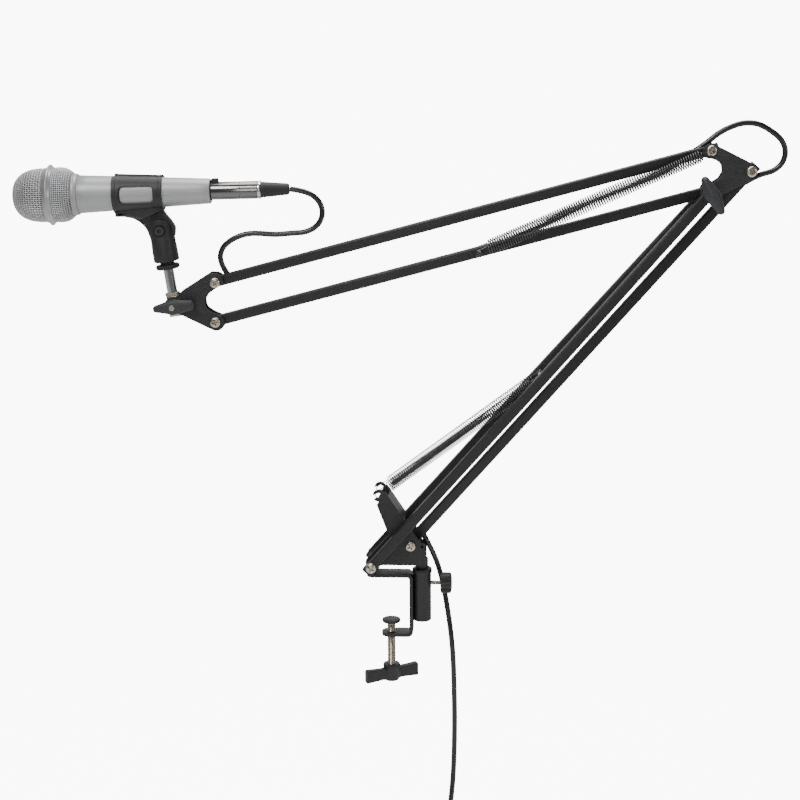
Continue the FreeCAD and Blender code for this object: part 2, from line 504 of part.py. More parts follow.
# ---------------------------------------------------------------- clip fork and flange (own Z up the stud, origin on the tilt pivot)
fr, fd = d("fork_radius"), d("fork_down")
sb2 = d("stud_bore")
rise = d("clip_rise")
rod_top = d("stud_length") - rise
barrel = turn("fork_barrel", [(0, rod_top + 0.6), (0, 10.4), (fr - 0.5, 10.4), (fr, -20.0), (fr + 0.1, -fd + 1.5), (fr - 1.2, -fd), (6.6, -fd), (6.6, rod_top - 0.2), (sb2 + 0.5, rod_top + 0.6)])
doc.recompute()
ears = pad("fork_ears", [(-fr - 1, -fd - 1), (fr + 1, -fd - 1), (fr + 1, 0.0, 0), (fr - 0.6, 10.2, 9.8), (-fr + 0.6, 10.2, 9.8), (-fr - 1, 0.0, 0)], 24.0)
both = common("fork_both", barrel, ears)
slot = box("fork_slot", (30.0, "Dims.fork_slot", 40.0), (-15.0, -d("fork_slot") / 2, -14.6))
fbore = cylinder("fork_bore", "Dims.bolt_hole", 40.0, (0, -20, 0), (0, 1, 0))
frec = cylinder("fork_recess", 5.6, 3.2, (0, -8.9, 0), (0, -1, 0))
frec2 = cylinder("fork_recess2", 4.6, 3.2, (0, 8.3, 0), (0, 1, 0))
fork = cut("fork_x", both, slot, fbore, frec, frec2)
give(fork, "clip_fork", at(K), STUD)
flt = d("flange_thick")
fl_r = d("flange_radius")
flange = turn("clip_flange", [(sb2, -fd - 0.02 - flt), (fl_r - 0.6, -fd - 0.02 - flt), (fl_r, -fd - flt + 0.6), (fl_r, -fd - 0.6), (fl_r - 0.6, -fd - 0.02), (6.55, -fd - 0.02), (6.55, rod_top - 0.3), (sb2, rod_top - 0.3)])
give(flange, "clip_flange", at(K), STUD)
cs = turn("clip_screw", [(0, -11.4), (3.4, -11.4, 0.6), (3.6, -8.92), (2.5, -8.92), (2.5, 11.0), (0, 11.0)], role="XY_Plane")
give(cs, "clip_screw", at(K), STUD)
cn = turn("clip_nut", [(2.5, 8.32), (4.4, 8.32), (4.4, 11.6, 0.5), (2.5, 11.6)], role="XY_Plane")
give(cn, "clip_nut", at(K), STUD)

# ---------------------------------------------------------------- clip sleeve and microphone (own X runs from the grille's tip to the tail)
x0, x1 = d("clip_start"), d("clip_end")
bf, btl, ml = d("body_front_radius"), d("body_tail_radius"), d("mic_length")
body_x = 60.7


def mic_r(x):
    return bf + (btl - bf) * (x - body_x) / (ml - 1.5 - body_x)


g, cw = d("clip_gap"), d("clip_wall")
kin = MIC.inverted().multVec(at(K) - mic_tip)
print("clip pivot in the microphone's frame", round(kin.x, 2), round(kin.z, 2))
outc = turn("sleeve_out", [(x0, 0), (x0, mic_r(x0) + g + cw), (x1, mic_r(x1) + g + cw), (x1, 0)], axis="H_Axis")
rib = pad("sleeve_rib", [(x0 + 3.0, -14.0), (x0 + 2.6, -21.0, 1.0), (x0 + 8.5, -20.9, 4.0), (x0 + 17.0, -23.0, 20.0), (x0 + 28.3, -30.8, 20.0), (kin.x - 12.0, -46.0, 5.0), (kin.x + 8.5, -47.5, 8.0), (kin.x + 13.2, -37.5, 7.0), (kin.x + 12.6, -31.0, 8.0), (kin.x + 5.9, -20.9, 3.0), (kin.x + 1.6, -13.4), (x1 - 2.0, -11.0)], "Dims.tang_thick")
tang_end = cylinder("tang_end", 13.3, "Dims.tang_thick", (kin.x, -d("tang_thick") / 2, kin.z), (0, 1, 0))
keep_box = box("tang_keep", (200.0, 40.0, 60.0), (0.0, -20.0, kin.z - 0.0))
rib_low = common("rib_low", rib, fuse("rib_mask", tang_end, keep_box))
inn = turn("sleeve_in", [(x0 - 5, 0), (x0 - 5, mic_r(x0 - 5) + g), (x1 + 5, mic_r(x1 + 5) + g), (x1 + 5, 0)], axis="H_Axis")
mouth = pad("sleeve_mouth", [(0, 0), (9.3, 17.5), (9.3, 30.0), (-9.3, 30.0), (-9.3, 17.5)], 400.0, role="YZ_Plane")
win = pad("sleeve_window", [(x0 + 7.5, -8.4, 3.7), (x0 + 37.3, -8.4, 3.7), (x0 + 37.3, 7.6, 3.7), (x0 + 7.5, 7.6, 3.7)], 80.0)
tb = cylinder("tang_bore", "Dims.bolt_hole", 40.0, (kin.x, -20, kin.z), (0, 1, 0))
sleeve = cut("sleeve_x", fuse("sleeve_u", outc, rib_low), inn, mouth, win, tb)
give(sleeve, "clip_sleeve", mic_tip, MIC)

mr = mic_r(ml - 1.5)
body = turn("mic_body", [(body_x - 5.0, 14.4), (body_x - 5.0, 15.7), (body_x, 15.7), (body_x, bf), (ml - 1.2, mr + 0.05), (ml, mr - 0.9), (ml, 9.6), (150.0, 9.6), (140.0, 11.0), (body_x + 6, 14.4)], axis="H_Axis")
give(body, "mic_body", mic_tip, MIC)
gr, rr = d("grille_radius"), d("ring_radius")


def dome(r, x_tip, x_end, steps=7, flat=9.0):
    """Points of a flattened dome's profile from the axis at x_tip to radius r at x_end."""
    pts = [(x_tip, 0)]
    for i in range(1, steps + 1):
        a = math.pi / 2 * i / steps
        pts.append((x_tip + (x_end - x_tip) * (1 - math.cos(a)) ** 0.9, flat * math.sin(a) + (r - flat) * math.sin(a) ** 0.75))
    return pts


front = dome(gr, 0.0, 27.0)
front_in = [(x * 0.963 + 1.0, max(0.0, y - 1.0)) for x, y in front]
gfront = turn("mic_grille_front", front + [(30.2, gr), (30.2, gr - 1.0)] + front_in[::-1], axis="H_Axis")
give(gfront, "mic_grille_front", mic_tip, MIC)
cr = d("collar_radius")
rear = [(37.4, gr - 0.1), (43.0, gr - 0.3), (50.0, gr - 2.4), (56.4, 19.0)]
grear = turn("mic_grille_rear", rear + [(56.4, 18.0), (50.0, gr - 3.5), (43.0, gr - 1.3), (37.4, gr - 1.1)], axis="H_Axis")
give(grear, "mic_grille_rear", mic_tip, MIC)
ring = turn("mic_ring", [(30.2, gr - 1.6), (37.4, gr - 1.6), (37.4, gr), (38.0, gr), (37.9, rr - 1.4), (36.9, rr - 0.2), (30.7, rr), (29.7, rr - 1.0), (29.6, gr), (30.2, gr)], axis="H_Axis")
give(ring, "mic_ring", mic_tip, MIC)
collar = turn("mic_collar", [(56.45, 15.75), (56.45, cr), (60.0, cr), (60.6, cr - 0.8), (60.6, 15.72)], axis="H_Axis")
give(collar, "mic_collar", mic_tip, MIC)
fo = [(x * 0.90 + 1.9, max(0.0, y - 1.8)) for x, y in front]
fi = [(x * 0.80 + 5.0, max(0.0, y - 4.8)) for x, y in front]
foam = turn("mic_foam", fo + [(29.5, gr - 2.0), (43.0, gr - 2.4), (52.5, 19.0), (52.5, 15.9), (42.0, gr - 5.0), (29.5, gr - 4.8)] + fi[::-1], axis="H_Axis")
give(foam, "mic_foam", mic_tip, MIC)
cap = turn("mic_capsule", [(34.0, 0), (34.0, 12.0, 1.0), (47.0, 13.0), (52.0, 13.0), (55.6, 12.2), (55.6, 14.25), (60.0, 14.25), (66.0, 12.5), (66.0, 0)], axis="H_Axis")
give(cap, "mic_capsule", mic_tip, MIC)
ins = turn("mic_insert", [(155.0, 0), (155.0, 9.58), (160.0, 9.58), (160.0, 0)], axis="H_Axis")
pins = [cylinder("mic_pin%d" % k, 1.2, 14.0, (159.5, 3.6 * math.sin(a), 3.6 * math.cos(a)), (1, 0, 0)) for k, a in enumerate((math.radians(60), math.radians(180), math.radians(300)))]
give(fuse("mic_insert_f", ins, *pins), "mic_insert", mic_tip, MIC)

# plug of the cable, pushed into the tail
pr2, pe, be = d("plug_radius"), d("plug_end"), d("boot_end")
shell = turn("plug_shell", [(165.0, 7.0), (165.0, pr2 - 0.1), (ml + 0.4, pr2 - 0.1), (ml + 0.5, pr2), (pe - 4.0, pr2), (pe - 3.6, pr2 - 0.5), (pe - 3.0, pr2 - 0.5), (pe - 2.6, pr2), (pe - 0.6, pr2), (pe, pr2 - 0.6), (pe, 7.0)], axis="H_Axis")
doc.recompute()
lat = sketch(shell, "XY_Plane", outline([(181.4, -3.0, 1.0), (188.2, -3.0, 1.0), (188.2, 3.0, 1.0), (181.4, 3.0, 1.0)]), "latch_hole_sk")
lp = shell.newObject("PartDesign::Pocket", "latch_hole")
lp.Profile = lat
lp.Length = 12.0
lp.Reversed = True
shell.Tip = lp
doc.recompute()
give(shell, "plug_shell", mic_tip, MIC)
latch = box("latch_b", (6.2, 5.4, 6.2), (181.7, -2.7, 5.2))
lf = doc.addObject("Part::Fillet", "latch_f")
lf.Base = latch
doc.recompute()
lf.Edges = [(i + 1, 0.7, 0.7) for i, e in enumerate(latch.Shape.Edges) if max(v.Z for v in e.Vertexes) > 11.3 and min(v.Z for v in e.Vertexes) > 11.3]
give(lf, "plug_latch", mic_tip, MIC)
boot = turn("plug_boot", [(pe - 6.0, 0), (pe - 6.0, 6.95), (pe + 0.1, 6.95), (pe + 0.1, 7.1), (pe + 4.0, 7.0), (be - 1.0, 5.1), (be, 4.4), (be, 0)], axis="H_Axis")
give(boot, "plug_boot", mic_tip, MIC)

# ---------------------------------------------------------------- cable
rc = d("cord_radius")


def cable(label, pts):
    """A cable's tube: straight runs joined by tangent arcs, swept with its round section."""
    pts = [Vector(*p) for p in pts]
    edges, start, radii = [], pts[0], []
    for i in range(1, len(pts) - 1):
        a, b = pts[i - 1] - pts[i], pts[i + 1] - pts[i]
        short = min(a.Length, b.Length)
        a.normalize()
        b.normalize()
        half_ = a.getAngle(b) / 2
        turn_half = math.pi / 2 - half_
        r = 0.45 * short / math.tan(turn_half)
        radii.append(round(r, 1))
        t_ = 0.45 * short
        m = a + b
        m.normalize()
        centre = pts[i] + m * (r / math.sin(half_))
        p0, p1 = pts[i] + a * t_, pts[i] + b * t_
        edges.append(Part.LineSegment(start, p0).toShape())
        edges.append(Part.Arc(p0, centre - m * r, p1).toShape())
        start = p1
    edges.append(Part.LineSegment(start, pts[-1]).toShape())
    wire_ = Part.Wire(edges)
    u = pts[1] - pts[0]
    u.normalize()
    section = Part.Wire([Part.Circle(pts[0], u, rc).toShape()])
    tube = wire_.makePipeShell([section], True, False)
    o = doc.addObject("Part::Feature", label)
    o.Shape = tube
    o.Placement = Placement()
    print(label, "radii", radii, "length", round(wire_.Length, 1), "volume share", round(tube.Volume / (math.pi * rc * rc * wire_.Length), 4))
    return give(o, label)


HEAD = [(-88.5, 363.7), (-74.2, 361.9), (-62.8, 354.3), (-58.7, 343.1), (-62.5, 331.7), (-73.5, 324.5), (-88.6, 323.6), (-102.8, 322.2), (-115.4, 323.4), (-128.0, 323.5), (-141.5, 318.8), (-152.3, 309.9), (-154.2, 296.5), (-146.9, 285.6)]
cable("cord_head", [(x, 0, z) for x, z in HEAD])
ELBOW = [(272.6, 397.2), (284.0, 405.2), (292.6, 412.8), (303.3, 418.6), (315.0, 422.5), (327.9, 421.8), (338.8, 415.9), (349.0, 408.0), (353.4, 397.6), (351.0, 386.6), (342.5, 379.2), (329.6, 376.4), (317.9, 369.4)]
cable("cord_elbow", [(x, 0, z) for x, z in ELBOW])
TAIL = [(30.2, 0.0, 41.4), (34.6, 1.6, 32.0), (39.4, 5.4, 21.0), (43.4, 10.4, 8.6), (46.8, 14.4, -5.0), (49.6, 15.9, -19.6), (52.4, 13.2, -34.6), (55.0, 9.2, -50.6), (57.2, 6.7, -68.6), (58.6, 5.6, -90.0), (59.3, 4.6, -114.0), (59.8, 3.0, -142.0), (59.6, 0.4, -172.0),
        (58.6, -3.6, -201.0), (56.2, -8.6, -227.0), (52.0, -12.2, -248.0), (46.4, -13.4, -266.0), (41.6, -13.3, -282.6), (39.9, -12.6, -297.0)]
cable("cord_tail", TAIL)
# spare length: two layers of four turns, side by side, as one ring
ci, co, ch = d("coil_inner"), d("coil_outer"), d("coil_half")
coil = turn("cord_coil", [(ci, -ch, 2.4), (co, -ch, 2.4), (co, ch, 2.4), (ci, ch, 2.4)], role="XY_Plane")
give(coil, "cord_coil", Vector(d("coil_x"), 0, d("coil_z")))
# a flat tie round the ring, along the ring's own radius
tie = pad("cord_tie", [(ci - 1.4, -ch - 1.4, 3.6), (co + 1.4, -ch - 1.4, 3.6), (co + 1.4, ch + 1.4, 3.6), (ci - 1.4, ch + 1.4, 3.6)], 7.0, role="XY_Plane",
          holes=[[(ci - 0.3, -ch - 0.3, 2.6), (co + 0.3, -ch - 0.3, 2.6), (co + 0.3, ch + 0.3, 2.6), (ci - 0.3, ch + 0.3, 2.6)]])
give(tie, "cord_tie", Vector(d("coil_x"), 0, d("coil_z")), Rotation(Vector(0, 1, 0), -d("tie_turn")))
# plug on the far end, hanging from the ring's left side
tx, ty = d("coil_x") - (co - rc), -(ch - rc) + 0.15
tz = -323.6
tail = turn("tail_plug", [(0, tz + 22.0), (rc, tz + 22.0), (rc, tz), (3.6, tz), (6.2, tz - 24.0), (8.0, tz - 25.0), (8.3, tz - 58.0), (9.4, tz - 60.0), (9.4, tz - 80.0), (8.1, tz - 80.0), (8.1, tz - 66.0), (0, tz - 66.0)])
give(tail, "tail_plug", Vector(tx, ty, 0))
print("far plug", tx, ty)

# ---------------------------------------------------------------- check and write
doc.recompute()
bad = []
for o in doc.Objects:
    if any(s in ("Invalid", "Error") for s in o.State):
        bad.append((o.Name, o.Label, o.State))
for label, obj in nodes:
    s = obj.Shape
    if s.isNull() or not s.isValid() or s.Volume < 0.5:
        bad.append((label, "shape", None if s.isNull() else (s.isValid(), s.Volume)))
    elif len(s.Solids) != 1:
        bad.append((label, "solids", len(s.Solids)))
if bad:
    for b in bad:
        print("BAD", b)
    raise SystemExit("some objects failed")
names = [n for n, _ in nodes]
assert len(names) == len(set(names)) and len(names) <= 60, len(names)
for label, obj in nodes:
    obj.Shape.exportStep("parts/%s.step" % label)
    bb = obj.Shape.BoundBox
    print("%-22s vol %9.1f  x %7.1f %7.1f  y %6.1f %6.1f  z %7.1f %7.1f" % (label, obj.Shape.Volume, bb.XMin, bb.XMax, bb.YMin, bb.YMax, bb.ZMin, bb.ZMax))
print(len(nodes), "nodes")
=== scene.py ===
import bpy, bmesh, json, math
from mathutils import Vector, Matrix

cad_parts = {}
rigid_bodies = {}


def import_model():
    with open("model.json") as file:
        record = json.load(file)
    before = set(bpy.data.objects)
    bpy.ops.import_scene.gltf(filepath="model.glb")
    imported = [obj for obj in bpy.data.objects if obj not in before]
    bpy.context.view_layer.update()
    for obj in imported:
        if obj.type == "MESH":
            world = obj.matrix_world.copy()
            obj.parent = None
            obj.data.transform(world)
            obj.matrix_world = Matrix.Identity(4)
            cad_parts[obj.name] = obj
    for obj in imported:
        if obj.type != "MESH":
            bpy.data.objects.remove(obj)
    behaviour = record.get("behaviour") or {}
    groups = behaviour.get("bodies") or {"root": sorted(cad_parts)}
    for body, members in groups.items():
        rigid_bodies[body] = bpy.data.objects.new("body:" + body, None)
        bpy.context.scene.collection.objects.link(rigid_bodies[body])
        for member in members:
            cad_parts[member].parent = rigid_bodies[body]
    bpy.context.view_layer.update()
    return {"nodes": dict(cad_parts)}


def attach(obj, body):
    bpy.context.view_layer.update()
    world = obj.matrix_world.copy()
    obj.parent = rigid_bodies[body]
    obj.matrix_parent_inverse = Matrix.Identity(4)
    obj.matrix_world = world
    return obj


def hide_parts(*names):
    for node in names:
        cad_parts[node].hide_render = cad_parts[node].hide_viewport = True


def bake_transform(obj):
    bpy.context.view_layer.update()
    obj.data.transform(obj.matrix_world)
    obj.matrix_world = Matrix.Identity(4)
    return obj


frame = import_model()
S = 0.001

# ------------------------------------------------------------------ frame numbers (mm, degrees), the same as the CAD model's
LA, UA, LEN = 48.8, 15.0, 461.0
la, ua = math.radians(LA), math.radians(UA)
A = (-17.0, 15.0); B = (19.2, 33.0)
C = (A[0] + LEN * math.cos(la), A[1] + LEN * math.sin(la))
D = (C[0] + 36.2, C[1] + 18.0); E = (C[0] + 0.5, C[1] + 36.5)
F = (C[0] - LEN * math.cos(ua), C[1] - LEN * math.sin(ua)); G = (F[0] + 0.5, F[1] + 36.5)
W = (-196.7, 257.5)
TILT = 8.13
K = (W[0] - 70 * math.sin(math.radians(TILT)), W[1] + 70 * math.cos(math.radians(TILT)))
TIP = (-340.9, 357.3); SLOPE = 1.46


def place(x=0, y=0, z=0, about_y=0.0, about_z=0.0):
    return Matrix.Translation((x, y, z)) @ Matrix.Rotation(math.radians(about_y), 4, "Y") @ Matrix.Rotation(math.radians(about_z), 4, "Z")


LOW = place(A[0], 0, A[1], -LA)
LOWB = place(B[0], 0, B[1], -LA)
TOP = place(G[0], 0, G[1], -UA)
BOT = place(F[0], 0, F[1], -UA)
STUD = place(W[0], 0, W[1], -TILT)
FORK = place(K[0], 0, K[1], -TILT)
MIC = place(TIP[0], 0, TIP[1], -SLOPE)

# ------------------------------------------------------------------ camera, at the photograph's angle
p, a, r = math.radians(13.1), math.radians(3.03), math.radians(-0.37)
fwd = Vector((-math.sin(a) * math.cos(p), math.cos(a) * math.cos(p), -math.sin(p)))
right = Vector((math.cos(a), math.sin(a), 0))
up = right.cross(fwd)
R_, U_ = right * math.cos(r) + up * math.sin(r), up * math.cos(r) - right * math.sin(r)
cam_data = bpy.data.cameras.new("camera")
cam_data.lens = 87.75
cam_data.sensor_width = 36
cam_data.clip_end = 50
cam = bpy.data.objects.new("camera", cam_data)
bpy.context.scene.collection.objects.link(cam)
m = Matrix.Identity(4)
for i, v in enumerate((R_, U_, -fwd)):
    for k in range(3):
        m[k][i] = v[k]
m.translation = Vector((9.5, 0, 169.0)) * S - fwd * 1.7963
cam.matrix_world = m
bpy.context.scene.camera = cam


# ------------------------------------------------------------------ materials
def material(name, base, rough=0.5, metal=0.0, spots=0.0, spot_scale=900, bump=0.0, bump_scale=2500, streak=None, coat=0.0, rough_var=0.08, edge=0.0, sheen=0.0, spec=None, big=0.0):
    """A procedural finish: colour that varies a little at two scales, roughness that varies, and fine relief."""
    mt = bpy.data.materials.new(name)
    mt.use_nodes = True
    nt = mt.node_tree
    bs = nt.nodes["Principled BSDF"]
    bs.inputs["Metallic"].default_value = metal
    if coat:
        bs.inputs["Coat Weight"].default_value = coat
        bs.inputs["Coat Roughness"].default_value = 0.12
    if sheen:
        bs.inputs["Sheen Weight"].default_value = sheen
    if spec is not None:
        bs.inputs["Specular IOR Level"].default_value = spec
    tc = nt.nodes.new("ShaderNodeTexCoord")
    src = tc.outputs["Object"]
    if streak:
        mp = nt.nodes.new("ShaderNodeMapping")
        mp.inputs["Scale"].default_value = streak
        nt.links.new(src, mp.inputs["Vector"])
        src = mp.outputs["Vector"]
    n1 = nt.nodes.new("ShaderNodeTexNoise")
    n1.inputs["Scale"].default_value = spot_scale
    n1.inputs["Detail"].default_value = 4
    n1.inputs["Roughness"].default_value = 0.65
    nt.links.new(src, n1.inputs["Vector"])
    n2 = nt.nodes.new("ShaderNodeTexNoise")
    n2.inputs["Scale"].default_value = 28
    n2.inputs["Detail"].default_value = 3
    nt.links.new(tc.outputs["Object"], n2.inputs["Vector"])
    ramp = nt.nodes.new("ShaderNodeValToRGB")
    dark = [max(0.0, c * (1 - spots)) for c in base]
    light = [min(1.0, c * (1 + spots * 1.5) + spots * 0.004) for c in base]
    ramp.color_ramp.elements[0].position = 0.32
    ramp.color_ramp.elements[0].color = (*dark, 1)
    ramp.color_ramp.elements[1].position = 0.70
    ramp.color_ramp.elements[1].color = (*light, 1)
    nt.links.new(n1.outputs["Fac"], ramp.inputs["Fac"])
    tint = nt.nodes.new("ShaderNodeMix")
    tint.data_type = "RGBA"
    tint.blend_type = "MULTIPLY"
    tint.inputs["Factor"].default_value = 1.0
    r2 = nt.nodes.new("ShaderNodeValToRGB")
    lo = 1 - (big or 0.10)
    r2.color_ramp.elements[0].position = 0.3
    r2.color_ramp.elements[0].color = (lo, lo, lo, 1)
    r2.color_ramp.elements[1].position = 0.7
    r2.color_ramp.elements[1].color = (1, 1, 1, 1)
    nt.links.new(n2.outputs["Fac"], r2.inputs["Fac"])
    nt.links.new(ramp.outputs["Color"], tint.inputs["A"])
    nt.links.new(r2.outputs["Color"], tint.inputs["B"])
    nt.links.new(tint.outputs["Result"], bs.inputs["Base Color"])
    mr = nt.nodes.new("ShaderNodeMapRange")
    mr.inputs["To Min"].default_value = max(0.02, rough - rough_var)
    mr.inputs["To Max"].default_value = min(1.0, rough + rough_var)
    nt.links.new(n1.outputs["Fac"], mr.inputs["Value"])
    nt.links.new(mr.outputs["Result"], bs.inputs["Roughness"])
    if bump:
        n3 = nt.nodes.new("ShaderNodeTexNoise")
        n3.inputs["Scale"].default_value = bump_scale
        n3.inputs["Detail"].default_value = 3
        nt.links.new(src, n3.inputs["Vector"])
        bp = nt.nodes.new("ShaderNodeBump")
        bp.inputs["Strength"].default_value = bump
        bp.inputs["Distance"].default_value = 0.0002
        nt.links.new(n3.outputs["Fac"], bp.inputs["Height"])
        nt.links.new(bp.outputs["Normal"], bs.inputs["Normal"])
    return mt


M = {
    "black_steel": material("black_steel", (0.017, 0.017, 0.018), 0.42, 0.0, spots=0.55, spot_scale=1300, bump=0.55, bump_scale=1500, rough_var=0.12, big=0.18),
    "elbow_steel": material("elbow_steel", (0.030, 0.030, 0.032), 0.40, 0.0, spots=0.40, spot_scale=1400, bump=0.40, bump_scale=1700, rough_var=0.10, big=0.15),
    "nickel": material("nickel", (0.68, 0.62, 0.52), 0.24, 1.0, spots=0.10, spot_scale=700, bump=0.10, bump_scale=3000, rough_var=0.08),
    "chrome": material("chrome", (0.72, 0.73, 0.76), 0.07, 1.0, spots=0.03, spot_scale=500, bump=0.02, bump_scale=2500, rough_var=0.04),
    "zinc": material("zinc", (0.60, 0.54, 0.44), 0.28, 1.0, spots=0.16, spot_scale=900, bump=0.15, bump_scale=2600, rough_var=0.10),
    "spring_wire": material("spring_wire", (0.12, 0.12, 0.125), 0.30, 0.95, spots=0.25, spot_scale=1200, bump=0.08, bump_scale=3000),
    "black_plastic": material("black_plastic", (0.020, 0.020, 0.021), 0.46, 0.0, spots=0.22, spot_scale=1600, bump=0.22, bump_scale=2400, rough_var=0.08, big=0.12),
    "knob_plastic": material("knob_plastic", (0.036, 0.037, 0.040), 0.50, 0.0, spots=0.22, spot_scale=1500, bump=0.25, bump_scale=2200, rough_var=0.08),
    "mic_paint": material("mic_paint", (0.42, 0.425, 0.435), 0.42, 0.35, spots=0.12, spot_scale=2600, bump=0.16, bump_scale=3200, rough_var=0.07, big=0.05),
    "grille": material("grille", (0.68, 0.685, 0.695), 0.36, 0.70, spots=0.12, spot_scale=1200, bump=0.05, bump_scale=3000),
    "ring_metal": material("ring_metal", (0.52, 0.525, 0.535), 0.30, 0.7, spots=0.08, spot_scale=1500, bump=0.06, bump_scale=3000),
    "foam": material("foam", (0.15, 0.15, 0.152), 0.95, 0.0, spots=0.5, spot_scale=1500, bump=1.0, bump_scale=1200, sheen=0.2),
    "dark_plastic": material("dark_plastic", (0.03, 0.03, 0.032), 0.5, 0.0, spots=0.2, spot_scale=1500, bump=0.2),
    "shell_metal": material("shell_metal", (0.20, 0.195, 0.19), 0.17, 1.0, spots=0.12, spot_scale=800, bump=0.04, bump_scale=2800, rough_var=0.05, streak=(1, 1, 1)),
    "shell_bright": material("shell_bright", (0.74, 0.72, 0.68), 0.18, 1.0, spots=0.06, spot_scale=800, bump=0.03, bump_scale=2800, rough_var=0.05),
    "rubber": material("rubber", (0.019, 0.019, 0.020), 0.55, 0.0, spots=0.25, spot_scale=1500, bump=0.25, bump_scale=2600),
    "cable": material("cable", (0.013, 0.013, 0.014), 0.26, 0.0, spots=0.25, spot_scale=500, bump=0.10, bump_scale=900, rough_var=0.07, coat=0.25),
}


# ------------------------------------------------------------------ mesh helpers (points in mm)
def obj_of(name, verts, faces, matrix=None):
    me = bpy.data.meshes.new(name)
    me.from_pydata([tuple(v) for v in verts], [], faces)
    o = bpy.data.objects.new(name, me)
    bpy.context.scene.collection.objects.link(o)
    if matrix is not None:
        me.transform(matrix)
    return o


def clean(o, merge=0.0005):
    bm = bmesh.new()
    bm.from_mesh(o.data)
    bmesh.ops.remove_doubles(bm, verts=bm.verts, dist=merge)
    bmesh.ops.dissolve_degenerate(bm, edges=bm.edges, dist=merge * 0.2)
    bmesh.ops.recalc_face_normals(bm, faces=bm.faces)
    bm.to_mesh(o.data)
    bm.free()
    return o


def applied(o):
    """The object's mesh with its modifiers applied, modifiers removed."""
    dg = bpy.context.evaluated_depsgraph_get()
    dg.update()
    me = bpy.data.meshes.new_from_object(o.evaluated_get(dg))
    o.modifiers.clear()
    old = o.data
    o.data = me
    return o


def boolean(o, cutter, op="DIFFERENCE", keep=False):
    md = o.modifiers.new("b", "BOOLEAN")
    md.operation = op
    md.solver = "EXACT"
    md.object = cutter
    applied(o)
    if not keep:
        bpy.data.objects.remove(cutter)
    return o


def bevel(o, width, segments=2, angle=35):
    md = o.modifiers.new("v", "BEVEL")
    md.width = width
    md.segments = segments
    md.limit_method = "ANGLE"
    md.angle_limit = math.radians(angle)
    md.harden_normals = False
    return applied(o)


def join(name, objs):
    """One object from several, in the same mm frame."""
    bm = bmesh.new()
    for o in objs:
        bm.from_mesh(o.data)
    me = bpy.data.meshes.new(name)
    bm.to_mesh(me)
    bm.free()
    for o in objs:
        bpy.data.objects.remove(o)
    n = bpy.data.objects.new(name, me)
    bpy.context.scene.collection.objects.link(n)
    return n


def finish_piece(o, name, mat, body=None, nodes=(), sharp=32, blend=None, materials=None):
    """Scales a mm mesh into the frame, gives it its finish and its body (a piece given blend is only baked in place,
    with no body), and hides the CAD nodes it stands for.
    """
    me = o.data
    me.transform(Matrix.Scale(S, 4))
    o.name = me.name = name
    me.polygons.foreach_set("use_smooth", [True] * len(me.polygons))
    if sharp:
        me.set_sharp_from_angle(angle=math.radians(sharp))
    if materials is None:
        me.materials.clear()
        me.materials.append(M[mat])
    if nodes:
        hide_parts(*nodes)
    if blend:
        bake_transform(o)
    elif body:
        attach(o, body)
    me.update()
    return o


def lathe(profile, n=64, axis="X", closed=True, wave=None):
    """Turns (along, radius) points round an axis. wave(i, angle) may change the radius."""
    verts, faces = [], []
    k = len(profile)
    for i, (x, rad) in enumerate(profile):
        for j in range(n):
            t = 2 * math.pi * j / n
            q = rad if wave is None else wave(i, t, rad)
            c, s = q * math.cos(t), q * math.sin(t)
            verts.append({"X": (x, c, s), "Y": (c, x, s), "Z": (c, s, x)}[axis])
    rng = range(k) if closed else range(k - 1)
    for i in rng:
        i2 = (i + 1) % k
        if profile[i][1] < 1e-6 and profile[i2][1] < 1e-6:
            continue
        for j in range(n):
            j2 = (j + 1) % n
            faces.append((i * n + j, i * n + j2, i2 * n + j2, i2 * n + j))
    return clean(obj_of("lathe", verts, faces))


def arc_points(points, per=8):
    """(x, y) points of an outline whose corners have radii."""
    n = len(points)
    out = []
    need, sides, halves = [], [], []
    for i in range(n):
        pt = Vector(points[i][:2])
        u = Vector(points[i - 1][:2]) - pt
        v = Vector(points[(i + 1) % n][:2]) - pt
        half = max(0.02, u.angle(v) / 2)
        halves.append(half)
        sides.append(v.length)
        need.append((points[i][2] if len(points[i]) > 2 else 0) / math.tan(half))
    for i in range(n):
        pt = Vector(points[i][:2])
        rad = points[i][2] if len(points[i]) > 2 else 0
        if rad <= 0:
            out.append(tuple(pt))
            continue
        u = (Vector(points[i - 1][:2]) - pt).normalized()
        v = (Vector(points[(i + 1) % n][:2]) - pt).normalized()
        half = halves[i]
        t = need[i]
        for side, other in ((sides[i - 1], need[i - 1]), (sides[i], need[(i + 1) % n])):
            if need[i] + other > 0.98 * side:
                t = min(t, 0.98 * side * need[i] / (need[i] + other))
        rad = t * math.tan(half)
        c = pt + (u + v).normalized() * (rad / math.sin(half))
        s, e = pt + u * t, pt + v * t
        a0 = math.atan2(s.y - c.y, s.x - c.x)
        a1 = math.atan2(e.y - c.y, e.x - c.x)
        da = (a1 - a0 + math.pi) % (2 * math.pi) - math.pi
        steps = max(2, int(per * abs(da) / (math.pi / 2)) + 1)
        for k in range(steps + 1):
            q = a0 + da * k / steps
            out.append((c.x + rad * math.cos(q), c.y + rad * math.sin(q)))
    return out


def circle(cx, cy, rad, n=40):
    return [(cx + rad * math.cos(2 * math.pi * k / n), cy + rad * math.sin(2 * math.pi * k / n)) for k in range(n)]


